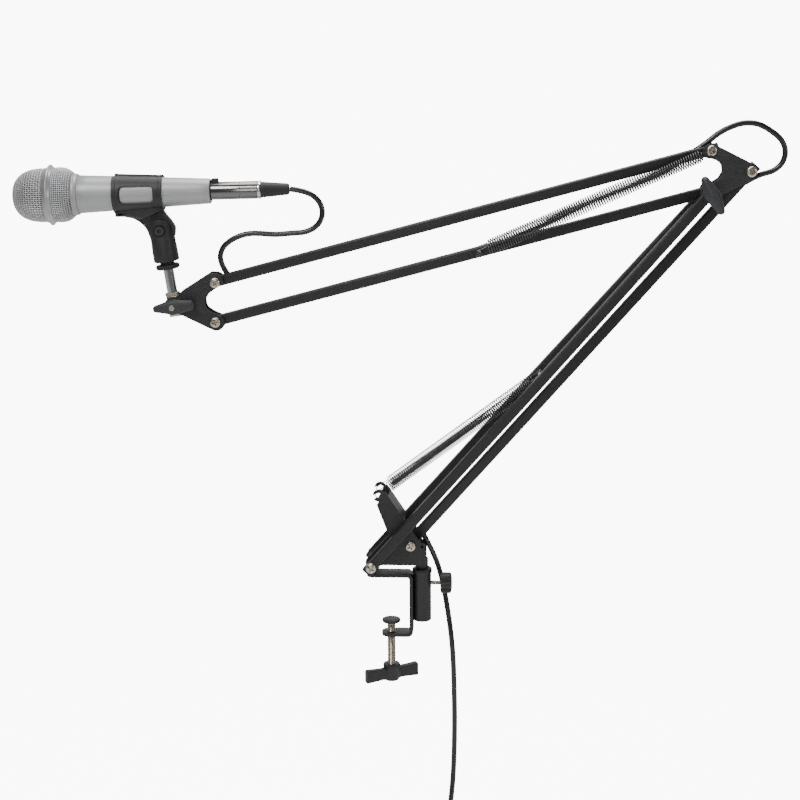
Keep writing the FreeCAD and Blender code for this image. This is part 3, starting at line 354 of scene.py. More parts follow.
def slab(loops, thick, edge=0.25, res=2):
    """A flat piece from its outline and hole loops, in the XY plane, thick in Z, with rounded edges."""
    cu = bpy.data.curves.new("slab", "CURVE")
    cu.dimensions = "2D"
    cu.fill_mode = "BOTH"
    for lp in loops:
        sp = cu.splines.new("POLY")
        sp.points.add(len(lp) - 1)
        for q, (x, y) in zip(sp.points, lp):
            q.co = (x, y, 0, 1)
        sp.use_cyclic_u = True
    cu.extrude = thick / 2 - edge
    cu.bevel_depth = edge
    cu.offset = -edge
    cu.bevel_resolution = res
    tmp = bpy.data.objects.new("slab", cu)
    bpy.context.scene.collection.objects.link(tmp)
    dg = bpy.context.evaluated_depsgraph_get()
    dg.update()
    me = bpy.data.meshes.new_from_object(tmp.evaluated_get(dg))
    bpy.data.objects.remove(tmp)
    o = bpy.data.objects.new("slab", me)
    bpy.context.scene.collection.objects.link(o)
    return clean(o)


XZ = Matrix(((1, 0, 0, 0), (0, 0, -1, 0), (0, 1, 0, 0), (0, 0, 0, 1)))      # sketch x, y -> x, z, and its thickness along -y
ALONG = Matrix(((0, 0, 1, 0), (1, 0, 0, 0), (0, 1, 0, 0), (0, 0, 0, 1)))    # sketch x, y -> y, z, and its thickness along x


def moved(o, *matrices):
    for mx in matrices:
        o.data.transform(mx)
    return o


def block(x0, x1, y0, y1, z0, z1, edge=0.0, seg=2):
    v = [(x, y, z) for x in (x0, x1) for y in (y0, y1) for z in (z0, z1)]
    f = [(0, 1, 3, 2), (4, 6, 7, 5), (0, 4, 5, 1), (2, 3, 7, 6), (0, 2, 6, 4), (1, 5, 7, 3)]
    o = clean(obj_of("block", v, f))
    return bevel(o, edge, seg) if edge else o


def loft(rings, caps=True, closed=True):
    n = len(rings[0])
    verts = [v for ring in rings for v in ring]
    faces = []
    for i in range(len(rings) - 1):
        for j in range(n if closed else n - 1):
            j2 = (j + 1) % n
            faces.append((i * n + j, i * n + j2, (i + 1) * n + j2, (i + 1) * n + j))
    if caps:
        faces.append(tuple(range(n))[::-1])
        faces.append(tuple((len(rings) - 1) * n + j for j in range(n)))
    return clean(obj_of("loft", verts, faces))


def tube(points, rad, n=12, caps=True, radii=None, merge=True):
    """A round tube along points, without twist."""
    pts = [Vector(q) for q in points]
    t0 = (pts[1] - pts[0]).normalized()
    ref = Vector((0, 1, 0)) if abs(t0.y) < 0.9 else Vector((1, 0, 0))
    nrm = (ref - t0 * ref.dot(t0)).normalized()
    rings = []
    for i, q in enumerate(pts):
        if i == 0:
            t = t0
        elif i == len(pts) - 1:
            t = (pts[-1] - pts[-2]).normalized()
        else:
            t = (pts[i + 1] - pts[i - 1]).normalized()
        nrm = (nrm - t * nrm.dot(t)).normalized()
        b = t.cross(nrm)
        rr = rad if radii is None else radii[i]
        rings.append([tuple(q + nrm * (rr * math.cos(2 * math.pi * k / n)) + b * (rr * math.sin(2 * math.pi * k / n))) for k in range(n)])
    verts = [v for ring in rings for v in ring]
    faces = []
    for i in range(len(rings) - 1):
        for j in range(n):
            j2 = (j + 1) % n
            faces.append((i * n + j, i * n + j2, (i + 1) * n + j2, (i + 1) * n + j))
    if caps:
        faces.append(tuple(range(n))[::-1])
        faces.append(tuple((len(rings) - 1) * n + j for j in range(n)))
    o = obj_of("tube", verts, faces)
    bm = bmesh.new()
    bm.from_mesh(o.data)
    bmesh.ops.recalc_face_normals(bm, faces=bm.faces)
    bm.to_mesh(o.data)
    bm.free()
    return o


def thread(z0, z1, rad, pitch, depth, n=28, core=None, cham=1.0):
    """A threaded rod along Z: a helical groove in a cylinder, plain for a moment at both ends."""
    rows = int((z1 - z0) / (pitch / 6)) + 1
    rings = []
    for i in range(rows + 1):
        z = z0 + (z1 - z0) * i / rows
        ring = []
        for j in range(n):
            t = 2 * math.pi * j / n
            ph = (z / pitch - j / n) % 1.0
            g = abs(ph - 0.5) * 2
            fade = min(1.0, (z - z0) / 0.8, (z1 - z) / 0.8)
            rr = rad - depth * (1 - g) * max(0.0, fade) - max(0.0, cham - (z - z0)) * 0.5 - max(0.0, cham - (z1 - z)) * 0.5
            ring.append((rr * math.cos(t), rr * math.sin(t), z))
        rings.append(ring)
    verts = [v for ring in rings for v in ring]
    faces = []
    for i in range(len(rings) - 1):
        for j in range(n):
            j2 = (j + 1) % n
            faces.append((i * n + j, i * n + j2, (i + 1) * n + j2, (i + 1) * n + j))
    faces.append(tuple(range(n))[::-1])
    faces.append(tuple((len(rings) - 1) * n + j for j in range(n)))
    return obj_of("thread", verts, faces)


# ------------------------------------------------------------------ cable, first
CORD_R = 2.6
HEAD = [(-88.5, 0, 363.7), (-74.2, 0, 361.9), (-62.8, 0, 354.3), (-58.7, 0, 343.1), (-62.5, 0, 331.7), (-73.5, 0, 324.5), (-88.6, 0, 323.6), (-102.8, 0, 322.2), (-115.4, 0, 323.4), (-128.0, 0, 323.5), (-141.5, 0, 318.8), (-152.3, 0, 309.9),
        (-154.2, 0, 296.5), (-146.9, 0, 285.6)]
ELBOW = [(272.6, 0, 397.2), (284.0, 0, 405.2), (292.6, 0, 412.8), (303.3, 0, 418.6), (315.0, 0, 422.5), (327.9, 0, 421.8), (338.8, 0, 415.9), (349.0, 0, 408.0), (353.4, 0, 397.6), (351.0, 0, 386.6), (342.5, 0, 379.2), (329.6, 0, 376.4), (317.9, 0, 369.4)]
TAIL = [(30.2, 0.0, 41.4), (34.6, 1.6, 32.0), (39.4, 5.4, 21.0), (43.4, 10.4, 8.6), (46.8, 14.4, -5.0), (49.6, 15.9, -19.6), (52.4, 13.2, -34.6), (55.0, 9.2, -50.6), (57.2, 6.7, -68.6), (58.6, 5.6, -90.0), (59.3, 4.6, -114.0), (59.8, 3.0, -142.0), (59.6, 0.4, -172.0),
        (58.6, -3.6, -201.0), (56.2, -8.6, -227.0), (52.0, -12.2, -248.0), (46.4, -13.4, -266.0), (41.6, -13.3, -282.6), (39.4, -13.2, -297.0)]
# the spare length: four turns on the inner layer towards the back, four on the outer layer towards the front, then out to the plug
COIL = (66.0, -300.0)
R1, R2, Y0 = 26.4, 31.8, 7.95
coil_pts = []
per = 16
for k in range(1, 4 * per + 1):
    ang = math.radians(180) + 2 * math.pi * k / per
    yy = -Y0 - 5.3 * max(0.0, 1 - k / 8.0) + (2 * Y0) * max(0.0, (k - 8) / (4 * per - 8))
    coil_pts.append((COIL[0] + R1 * 1.02 * math.cos(ang), yy, COIL[1] + R1 * 1.02 * math.sin(ang)))
for k in range(1, 4 * per + 1):
    ang = math.radians(180) + 2 * math.pi * k / per
    rr = (R1 + (R2 - R1) * min(1.0, k / 5.0)) * 1.02
    yy = Y0 - 2 * Y0 * k / (4 * per)
    coil_pts.append((COIL[0] + rr * math.cos(ang), yy, COIL[1] + rr * math.sin(ang)))
END = [(34.1, -7.95, -309.0), (34.1, -7.95, -324.6)]


def nurbs_line(points, res=10):
    """Points, in mm, along the smooth curve that has these control points."""
    cu = bpy.data.curves.new("route", "CURVE")
    cu.dimensions = "3D"
    sp = cu.splines.new("NURBS")
    sp.points.add(len(points) - 1)
    for q, c in zip(sp.points, points):
        q.co = (c[0] * S, c[1] * S, c[2] * S, 1)
    sp.order_u = 3
    sp.use_endpoint_u = True
    sp.resolution_u = res
    tmp = bpy.data.objects.new("route", cu)
    bpy.context.scene.collection.objects.link(tmp)
    dg = bpy.context.evaluated_depsgraph_get()
    dg.update()
    me = bpy.data.meshes.new_from_object(tmp.evaluated_get(dg))
    pts = [tuple(v.co / S) for v in me.vertices]
    bpy.data.objects.remove(tmp)
    out = [pts[0]]
    for q in pts[1:]:
        if (Vector(q) - Vector(out[-1])).length > 1e-4:
            out.append(q)
    return out


def length_of(pts):
    return sum((Vector(u) - Vector(v)).length for u, v in zip(pts, pts[1:]))


def cut_line(pts, cuts):
    """Splits a line at these lengths along it, each part sharing its end point with the next."""
    parts, cur, acc, ci = [], [pts[0]], 0.0, 0
    for u, v in zip(pts, pts[1:]):
        seg = (Vector(v) - Vector(u)).length
        while ci < len(cuts) and acc + seg >= cuts[ci]:
            t = (cuts[ci] - acc) / seg
            q = tuple(Vector(u).lerp(Vector(v), t))
            cur.append(q)
            parts.append(cur)
            cur = [q]
            ci += 1
        acc += seg
        if (Vector(v) - Vector(cur[-1])).length > 1e-3:
            cur.append(v)
    parts.append(cur)
    return parts


def cord_span(name, pts, node, bodies, ends):
    o = tube(pts, CORD_R, n=20)
    if len(bodies) == 2:
        finish_piece(o, name, "cable", nodes=[node], sharp=50, blend=(bodies[0], bodies[1], tuple(c * S for c in ends[0]), tuple(c * S for c in ends[1])))
    else:
        finish_piece(o, name, "cable", body=bodies[0], nodes=[node], sharp=50)
    return o


head_line = nurbs_line(HEAD)
total = length_of(head_line)
chain = ["mic", "clip", "fork", "stud", "head", "upper_top"]
for i, part in enumerate(cut_line(head_line, [total * k / 5 for k in range(1, 5)])):
    cord_span("cable_head_%d" % i, part, "cord_head", (chain[i], chain[i + 1]), (part[0], part[-1]))
elbow_line = nurbs_line(ELBOW)
total2 = length_of(elbow_line)
chain2 = ["upper_top", "elbow", "lower_centre"]
for i, part in enumerate(cut_line(elbow_line, [total2 / 2])):
    cord_span("cable_elbow_%d" % i, part, "cord_elbow", (chain2[i], chain2[i + 1]), (part[0], part[-1]))
tail_line = nurbs_line(TAIL + coil_pts + END, res=8)
parts = cut_line(tail_line, [36.0, 76.0])
cord_span("cable_tail_0", parts[0], "cord_tail", ("lower_centre", "column"), (parts[0][0], parts[0][-1]))
cord_span("cable_tail_1", parts[1], "cord_tail", ("column", "clamp"), (parts[1][0], parts[1][-1]))

# the plug on the far end: boot, shell and hollow nose with its three pins
PX, PY, PZ = END[-1][0], END[-1][1], -323.6
plug_boot2 = lathe([(1.6, 2.7), (0.4, 3.3), (0, 3.6), (-6, 4.4), (-6.2, 3.9), (-7.4, 3.9), (-7.6, 4.7), (-10, 5.0), (-10.2, 4.4), (-11.4, 4.4), (-11.6, 5.2), (-14, 5.5), (-14.2, 4.9), (-15.4, 4.9), (-15.6, 5.8), (-23, 6.2), (-24, 6.4), (-24, 2.7)], 40, "Z")
finish_piece(moved(plug_boot2, place(PX, PY, PZ)), "far_plug_boot", "rubber", body="clamp")
shell2 = lathe([(-24, 6.2), (-24.4, 7.6), (-25, 8.0), (-56.6, 8.3), (-57.2, 8.3), (-58.2, 9.0), (-60, 9.4), (-79.4, 9.4), (-80, 8.9), (-80, 8.2), (-66, 8.1), (-66, 0), (-60, 0), (-24, 0)], 72, "Z")
finish_piece(moved(shell2, place(PX, PY, PZ)), "far_plug_shell", "shell_metal", body="clamp")
plug_pins = join("pins", [moved(lathe([(-66, 0), (-66, 1.15), (-77.6, 1.15), (-78.4, 0.5), (-78.4, 0)], 16, "Z"), place(3.6 * math.sin(t), 3.6 * math.cos(t))) for t in (0.0, 2.094, 4.189)])
finish_piece(moved(plug_pins, place(PX, PY, PZ)), "far_plug_pins", "shell_bright", body="clamp")
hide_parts("tail_plug")
cord_span("cable_tail_2", parts[2], "cord_tail", ("clamp",), None)
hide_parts("cord_coil")
# tie
tie = slab([arc_points([(22.3, -12.1, 3.6), (35.9, -12.1, 3.6), (35.9, 12.1, 3.6), (22.3, 12.1, 3.6)]), arc_points([(23.4, -11.0, 2.6), (34.8, -11.0, 2.6), (34.8, 11.0, 2.6), (23.4, 11.0, 2.6)])], 7.0, edge=0.3)
finish_piece(moved(tie, place(COIL[0], 0, COIL[1], -35.0)), "cable_tie", "black_plastic", body="clamp", nodes=["cord_tie"])

# ------------------------------------------------------------------ bolts
def phillips(rad, height):
    """A pan head along Y, its face towards -Y at -height, with a cross recess."""
    prof = [(0, 0), (0, rad), (-0.35 * height, rad * 0.995)]
    for k in range(1, 7):
        t = math.pi / 2 * k / 6
        prof.append((-0.35 * height - 0.65 * height * math.sin(t), rad * (0.995 - 0.38 * (1 - math.cos(t)) ** 1.0)) if k < 6 else (-height, rad * 0.60))
    prof.append((-height, 0))
    h = lathe(prof, 48, "Y", closed=False)
    arms = []
    for q in (0, 1):
        w, l = 0.62, rad * 0.60
        rings = []
        for yy, sc in ((-height - 0.4, 1.15), (-height * 0.12, 0.55)):
            rings.append([(l * sc * sx, yy, w * (0.6 + 0.4 * sc) * sz) for sx, sz in ((-1, -1), (1, -1), (1, 1), (-1, 1))])
        c = loft(rings)
        arms.append(moved(c, Matrix.Rotation(math.radians(90 * q + 20), 4, "Y")))
    for c in arms:
        boolean(h, c)
    return h


def hexnut(y0, y1, af=7.8, bore=2.4, turn=0.0):
    rings = []
    for yy, k in ((y0, 0.93), (y0 + 0.35, 1.0), (y1 - 0.35, 1.0), (y1, 0.93)):
        rings.append([(af / math.sqrt(3) * k * math.cos(math.radians(60 * q + turn)), yy, af / math.sqrt(3) * k * math.sin(math.radians(60 * q + turn))) for q in range(6)])
    nut = loft(rings)
    collar = lathe([(y1 - 0.2, 0), (y1 - 0.2, 3.3), (y1 + 0.8, 3.0), (y1 + 1.0, 2.5), (y1 + 1.0, 0)], 32, "Y")
    return [nut, collar]


def bolt(name, node, body, centre, y_head, y_end, spin=0.0, washer=True):
    parts_ = [moved(phillips(4.9, 2.6), Matrix.Rotation(math.radians(spin), 4, "Y"), place(0, y_head, 0)), lathe([(y_head, 0), (y_head, 2.5), (y_end, 2.5), (y_end, 0)], 24, "Y")] + hexnut(y_end, y_end + 3.6, turn=spin)
    return finish_piece(moved(join(name, parts_), place(centre[0], 0, centre[1])), name, "nickel", body=body, nodes=[node], sharp=28)


bolt("vis_base_bolt_a", "base_bolt_a", "column", A, -26.8, 26.8, 12)
bolt("vis_base_bolt_b", "base_bolt_b", "column", B, -15.02, 15.02, 40)
bolt("vis_elbow_bolt_upper", "elbow_bolt_upper", "elbow", E, -6.77, 6.77, 5)
bolt("vis_elbow_bolt_rear", "elbow_bolt_rear", "elbow", D, -6.77, 6.77, 62)
bolt("vis_head_bolt_upper", "head_bolt_upper", "head", G, -6.77, 6.77, 25)
bolt("vis_head_bolt_lower", "head_bolt_lower", "head", F, -6.77, 6.77, 50)

# ------------------------------------------------------------------ square tubes
def box_tube(length, over, side=9.5, wall=1.0, slots=()):
    o, i = side / 2, side / 2 - wall
    outer = arc_points([(-o, -o, 1.5), (o, -o, 1.5), (o, o, 1.5), (-o, o, 1.5)], 6)
    inner = arc_points([(-i, -i, 0.6), (i, -i, 0.6), (i, i, 0.6), (-i, i, 0.6)], 4)
    t = slab([outer, inner], length + 2 * over, edge=0.18, res=1)
    moved(t, ALONG, place(length / 2, 0, 0))
    for x0, x1, upper in slots:
        z0, z1 = (o - wall - 0.5, o + 0.5) if upper else (-o - 0.5, -o + wall + 0.5)
        c = slab([arc_points([(x0, -3.25, 3.2), (x1, -3.25, 3.2), (x1, 3.25, 3.2), (x0, 3.25, 3.2)])], z1 - z0, edge=0.02, res=0)
        boolean(t, moved(c, place(0, 0, (z0 + z1) / 2)))
    return t


t = box_tube(LEN, 7.0, slots=((4.5, 27.0, False), (434.0, 465.0, False)))
finish_piece(moved(t, LOWB), "vis_lower_tube_centre", "black_steel", body="lower_centre", nodes=["lower_tube_centre"])
t = box_tube(LEN, 7.0, slots=((5.5, 24.0, True), (436.0, 463.5, True)))
finish_piece(moved(t, TOP), "vis_upper_tube_top", "black_steel", body="upper_top", nodes=["upper_tube_top"])
t = box_tube(LEN, 7.0)
finish_piece(moved(t, BOT), "vis_upper_tube_bottom", "black_steel", body="upper_bottom", nodes=["upper_tube_bottom"])


def bent_tube(sign):
    """An outer tube: its rounded square section lofted through the gentle bend at the spring pin."""
    o, i = 4.75, 3.75
    lean = math.atan2(22.0 - 11.9, LEN - 236.0)
    end = 236.0 + (LEN - 236.0) + 7.0 * math.cos(lean)
    stations = [(-7.0, 22.0, 0.0)]
    for k in range(7):
        x = 226.0 + 20.0 * k / 6
        q = (k / 6)
        yy = 22.0 - (math.tan(lean) * 20.0) * 0.5 * q * q
        stations.append((x, yy, lean * q))
    stations.append((end, 22.0 - math.tan(lean) * (end - 236.0), lean))
    rings_o, rings_i = [], []
    for x, yy, ang in stations:
        for rad, dst in ((arc_points([(-o, -o, 1.5), (o, -o, 1.5), (o, o, 1.5), (-o, o, 1.5)], 6), rings_o), (arc_points([(-i, -i, 0.6), (i, -i, 0.6), (i, i, 0.6), (-i, i, 0.6)], 6), rings_i)):
            dst.append([(x + u * math.sin(ang), sign * (yy + u * math.cos(ang)), v) for u, v in rad])
    n = len(rings_o[0])
    verts = [v for ring in rings_o + rings_i for v in ring]
    k = len(rings_o)
    faces = []
    for b in (0, k):
        for q in range(k - 1):
            for j in range(n):
                j2 = (j + 1) % n
                faces.append(((b + q) * n + j, (b + q) * n + j2, (b + q + 1) * n + j2, (b + q + 1) * n + j))
    for q in (0, k - 1):
        for j in range(n):
            j2 = (j + 1) % n
            faces.append((q * n + j, q * n + j2, (k + q) * n + j2, (k + q) * n + j))
    return clean(obj_of("bent", verts, faces))


for tag, sign in (("front", -1), ("rear", 1)):
    t = bent_tube(sign)
    bevel(t, 0.15, 1, 60)
    finish_piece(moved(t, LOW), "vis_lower_tube_" + tag, "black_steel", body="lower_outer", nodes=["lower_tube_" + tag])

# ------------------------------------------------------------------ springs and their pins
def helix(p0, p1, rad, wire, pitch, lead0, lead1, hook0=3.0, hook1=3.0, tuck=0.0, seg=14, sides=7):
    """A tension spring between two anchor points, with a hook round each."""
    a_, b_ = Vector(p0), Vector(p1)
    u = (b_ - a_).normalized()
    side = Vector((0, 1, 0))
    side = (side - u * side.dot(u)).normalized()
    third = u.cross(side)
    n_len = (b_ - a_).length - lead0 - lead1
    turns = int(n_len / pitch)
    pts = []
    # hook round the first anchor, in the plane of u and third
    for k in range(13):
        t = math.radians(200 - 200 * k / 12)
        pts.append(a_ + u * (-hook0 * math.sin(t) * 1.0) + third * (hook0 * math.cos(t)))
    start = len(pts)
    pts = [q for q in pts]
    pts.append(a_ + u * (lead0 * 0.55) + third * (hook0 * 0.9))
    for k in range(turns * seg + 1):
        t = 2 * math.pi * k / seg
        grow = min(1.0, 0.55 + k / (seg * 1.0) * 0.45, 0.55 + (turns * seg - k) / (seg * 1.0) * 0.45)
        pts.append(a_ + u * (lead0 + n_len * k / (turns * seg)) + (third * math.cos(t) + side * math.sin(t)) * (rad - wire / 2) * grow)
    if tuck:
        for back, q in ((0.80, 0.15), (0.62, 0.55), (0.42, 0.9), (0.22, 1.0), (0.05, 1.0)):
            pts.append(b_ - u * (lead1 * back) + third * (1.6 * back) + side * (tuck * q))
        return tube(pts, wire / 2, n=sides)
    pts.append(b_ - u * (lead1 * 0.55) + third * (hook1 * 0.9))
    for k in range(13):
        t = math.radians(0 - 200 * k / 12)
        pts.append(b_ + u * (-hook1 * math.sin(t)) + third * (hook1 * math.cos(t)))
    return tube(pts, wire / 2, n=sides)


PIN = (A[0] + 236.0 * math.cos(la), A[1] + 236.0 * math.sin(la))
UPIN = (F[0] + 249.5 * math.cos(ua), F[1] + 249.5 * math.sin(ua))
HOOK = (-10.2, 81.4)
for tag, sign in (("front", -1), ("rear", 1)):
    q0, q1 = (HOOK[0], sign * 9.6, HOOK[1]), (PIN[0], sign * 9.6, PIN[1])
    s_ = helix(q0, q1, 5.55, 1.0, 2.1, 10.5, 9.0, 3.3, 3.05)
    finish_piece(s_, "vis_lower_spring_" + tag, "spring_wire", nodes=["lower_spring_" + tag], sharp=60, blend=("column", "lower_outer", tuple(c * S for c in q0), tuple(c * S for c in q1)))
    q0, q1 = (UPIN[0], sign * 11.9, UPIN[1]), (E[0], sign * 11.4, E[1])
    s_ = helix(q0, q1, 5.6, 1.12, 2.27, 8.0, 9.5, 3.1, 4.2, tuck=-sign * 4.4)
    finish_piece(s_, "vis_upper_spring_" + tag, "spring_wire", nodes=["upper_spring_" + tag], sharp=60, blend=("upper_bottom", "elbow", tuple(c * S for c in q0), tuple(c * S for c in q1)))


def grooved_pin(half, rad, cap, grooves):
    prof = [(-half, 0), (-half, cap - 0.5), (-half + 0.6, cap), (-half + 1.6, cap), (-half + 1.9, rad)]
    for g in grooves:
        prof += [(g - 1.1, rad), (g - 0.7, rad - 0.55), (g + 0.7, rad - 0.55), (g + 1.1, rad)]
    prof += [(half - 1.9, rad), (half - 1.6, cap), (half - 0.6, cap), (half, cap - 0.5), (half, 0)]
    return lathe(prof, 40, "Y", closed=False)


finish_piece(moved(grooved_pin(24.2, 2.45, 2.45, (-9.6, 9.6)), place(PIN[0], 0, PIN[1])), "vis_lower_spring_pin", "nickel", body="lower_outer", nodes=["lower_spring_pin"])
finish_piece(moved(grooved_pin(16.2, 2.45, 3.2, (-11.9, 11.9)), place(UPIN[0], 0, UPIN[1])), "vis_upper_spring_pin", "spring_wire", body="upper_bottom", nodes=["upper_spring_pin"])

# ------------------------------------------------------------------ plates of the elbow and the head
e_out = [(-7.4, 46.9, 7.4), (46.5, 19.7, 6.2), (30.6, 7.1, 8.0), (12.6, -2.2, 4.0), (8.6, -8.9, 6.5), (-8.4, -8.7, 7.8), (-8.6, 5.4, 6.0), (1.6, 7.4, 4.0), (7.6, 11.2, 5.0), (11.2, 17.4, 5.0), (10.0, 23.4, 5.0), (5.4, 27.6, 4.0), (0.6, 29.4, 2.0), (-7.4, 30.0, 6.0)]
h_out = [(8.0, 7.8, 7.7), (-4.0, 8.8, 5.0), (-31.2, -8.6, 1.0), (-36.0, -13.2, 1.0), (-47.0, -14.4, 7.6), (-47.0, -29.2, 7.6), (-33.5, -29.2, 2.0), (-6.5, -42.3, 3.0), (-1.0, -44.6, 6.5), (7.9, -44.3, 7.7), (7.9, -33.6, 3.0), (3.9, -30.6, 4.0), (-2.4, -27.8, 6.0),
         (-8.9, -23.5, 5.0), (-10.0, -16.5, 4.0), (-6.6, -10.6, 4.0), (-0.9, -6.5, 4.0), (5.6, -2.4, 1.0), (8.0, -0.8, 1.5)]
for tag, sign in (("front", -1), ("rear", 1)):
    o = slab([arc_points(e_out), circle(0, 0, 3.05), circle(36.2, 18.0, 2.55), circle(0.5, 36.5, 2.55)], 1.5, edge=0.3)
    finish_piece(moved(o, XZ, place(C[0], sign * 6.0, C[1])), "vis_elbow_plate_" + tag, "elbow_steel", body="elbow", nodes=["elbow_plate_" + tag])
    o = slab([arc_points(h_out), circle(0, 0, 2.55), circle(-0.5, -36.5, 2.55), circle(W[0] - G[0], W[1] - G[1], 2.55)], 1.5, edge=0.3)
    finish_piece(moved(o, XZ, place(G[0], sign * 6.0, G[1])), "vis_head_plate_" + tag, "black_steel", body="head", nodes=["head_plate_" + tag])


# ------------------------------------------------------------------ wing knobs
def wing(left, right, y_back, y_front, h_mid, h_left, h_right, power=0.8, square=0.78, sweep=0.0, n=32, sections=33):
    """A moulded wing: faceted sections along X, thickest at the hub, with a ridge along its face and rounded tips."""
    rings = []
    for i in range(sections):
        q = math.sin((-1 + 2 * i / (sections - 1)) * math.pi / 2)
        half, h_tip = (left, h_left) if q < 0 else (right, h_right)
        x = half * q
        k = abs(q)
        end = math.sqrt(max(0.0, 1 - max(0.0, (k - 0.86) / 0.14) ** 2))
        hh = (h_tip + (h_mid - h_tip) * (1 - k) ** power) / 2 * max(0.04, end)
        yc = (y_back + y_front) / 2 - sweep * k
        dd = abs(y_front - y_back) / 2 * (0.45 + 0.55 * (1 - k) ** 0.7) * max(0.12, end ** 0.5)
        ring = []
        for j in range(n):
            t = 2 * math.pi * j / n
            c, sn = math.cos(t), math.sin(t)
            ring.append((x, yc + math.copysign(abs(c) ** square, c) * dd, math.copysign(abs(sn) ** square, sn) * hh))
        rings.append(ring)
    return loft(rings)


blade = wing(18.0, 20.5, -9.0, -18.0, 14.5, 5.8, 8.4, power=1.2, square=0.72)
hub = lathe([(-6.82, 2.55), (-6.82, 6.0), (-7.6, 6.2), (-14.5, 6.0), (-15.0, 5.2), (-15.0, 2.55)], 48, "Y")
finish_piece(moved(join("w", [blade, hub]), place(W[0], 0, W[1], -6.4)), "vis_wing_nut", "knob_plastic", body="wing_nut", nodes=["wing_nut"])
wb = join("wb", [lathe([(-18.4, 0), (-18.4, 2.0), (-17.9, 2.5), (6.8, 2.5), (6.8, 0)], 28, "Y", closed=False)] + [moved(hexnut(6.8, 10.0, af=8.6)[0], Matrix.Identity(4))] )
for o in [q for q in bpy.data.objects if q.name.startswith("lathe") and q.parent is None and not q.users_collection == ()]:
    bpy.data.objects.remove(o)
finish_piece(moved(wb, place(W[0], 0, W[1])), "vis_wing_bolt", "nickel", body="head", nodes=["wing_bolt"])

paddle = wing(18.6, 18.6, -24.4, -42.8, 14.2, 5.2, 5.2, power=0.85, square=0.80)
hubk = lathe([(-17.25, 3.05), (-17.25, 7.0), (-17.9, 7.4), (-24.0, 7.4), (-26.5, 6.4), (-27.5, 5.2), (-27.5, 3.05)], 48, "Y")
finish_piece(moved(join("k", [paddle, hubk]), place(C[0], 0, C[1], 61.5)), "vis_elbow_knob", "knob_plastic", body="elbow_knob", nodes=["elbow_knob"])
mb = lathe([(21.25, 0), (21.2, 2.4), (20.4, 4.8), (19.0, 6.2), (17.9, 6.6), (17.15, 6.6), (17.15, 3.0), (-36.0, 3.0), (-36.0, 0)], 48, "Y", closed=False)
finish_piece(moved(mb, place(C[0], 0, C[1])), "vis_elbow_bolt_main", "nickel", body="elbow", nodes=["elbow_bolt_main"])

# ------------------------------------------------------------------ stud and its block
rod = lathe([(4.6, 0), (4.6, 4.72), (48.9, 4.72), (49.9, 3.9), (49.9, 0)], 64, "Z", closed=False)
finish_piece(moved(rod, STUD), "vis_stud_rod", "chrome", body="stud", nodes=["stud_rod"])
bk = block(-5.75, 5.75, -4.8, 4.8, -10.5, 10.5)
cutter = lathe([(-20, 0), (-20, 2.6), (20, 2.6), (20, 0)], 32, "Y")
boolean(bk, cutter)
bevel(bk, 0.8, 3, 50)
nutr = lathe([(8.6, 4.73), (8.6, 6.3), (9.0, 6.7), (10.6, 6.9), (11.6, 6.6), (12.0, 5.6), (12.0, 4.73)], 48, "Z")
boolean(nutr, block(-10, 10, -5.1, 5.1, 6, 14), "INTERSECT")
finish_piece(moved(bk, STUD), "vis_stud_block", "zinc", body="stud", nodes=["stud_block"], sharp=25)
finish_piece(moved(nutr, STUD), "vis_stud_collar", "zinc", body="stud")

# ------------------------------------------------------------------ clip: fork, flange, screw, nut
fr = 11.6
barrel = lathe([(-19.4, 0), (10.4, 0), (10.4, fr - 0.5), (-20.0, fr), (-27.8, fr + 0.1), (-28.8, fr - 0.2), (-29.3, fr - 1.2), (-29.3, 6.6), (-20.2, 6.6), (-19.4, 5.3)], 96, "Z", closed=True)
top = block(-15, 15, -15, 15, 0, 20)
boolean(top, lathe([(-16, 0), (-16, 10.6), (16, 10.6), (16, 0)], 96, "Y"))
boolean(barrel, top)
for c in (block(-20, 20, -4.35, 4.35, -14.6, 30), moved(lathe([(-9, 0), (-9, 5.6), (-20, 5.9), (-20, 0)], 48, "Y"), Matrix.Identity(4)), lathe([(8.3, 0), (8.3, 4.7), (20, 4.9), (20, 0)], 6, "Y")):
    boolean(barrel, c)
bevel(barrel, 0.45, 2, 40)
finish_piece(moved(barrel, FORK), "vis_clip_fork", "black_plastic", body="fork", nodes=["clip_fork"], sharp=30)
flange = lathe([(-36.2, 4.76), (-36.2, 9.8), (-35.6, 10.6), (-35.0, 10.9), (-32.9, 10.9), (-32.4, 10.5), (-32.0, 9.6), (-32.0, 4.76)], 240, "Z", wave=lambda i, t, rad: rad - (0.6 * (0.5 + 0.5 * math.cos(30 * t)) if i in (2, 3, 4, 5) else 0.0))
neck = lathe([(-32.2, 4.76), (-32.2, 6.5), (-20.4, 6.5), (-20.4, 4.76)], 40, "Z")
finish_piece(moved(join("f", [flange, neck]), FORK), "vis_clip_flange", "black_plastic", body="fork", nodes=["clip_flange"], sharp=40)
sc = lathe([(-8.95, 0), (-8.95, 4.1), (-9.3, 4.3), (-11.0, 4.3), (-11.5, 3.8), (-11.5, 0)], 48, "Y", closed=False)
hexc = loft([[(2.2 * math.cos(math.radians(60 * q)), yy, 2.2 * math.sin(math.radians(60 * q))) for q in range(6)] for yy in (-12.5, -9.9)])
boolean(sc, hexc)
shk = lathe([(-9.5, 0), (-9.5, 2.5), (11.0, 2.5), (11.0, 0)], 24, "Y", closed=False)
finish_piece(moved(join("s", [sc, shk]), FORK), "vis_clip_screw", "dark_plastic", body="fork", nodes=["clip_screw"], sharp=30)
nt_ = hexnut(8.32, 11.6, af=7.6)
for q in nt_[1:]:
    bpy.data.objects.remove(q)
finish_piece(moved(nt_[0], FORK), "vis_clip_nut", "nickel", body="fork", nodes=["clip_nut"])

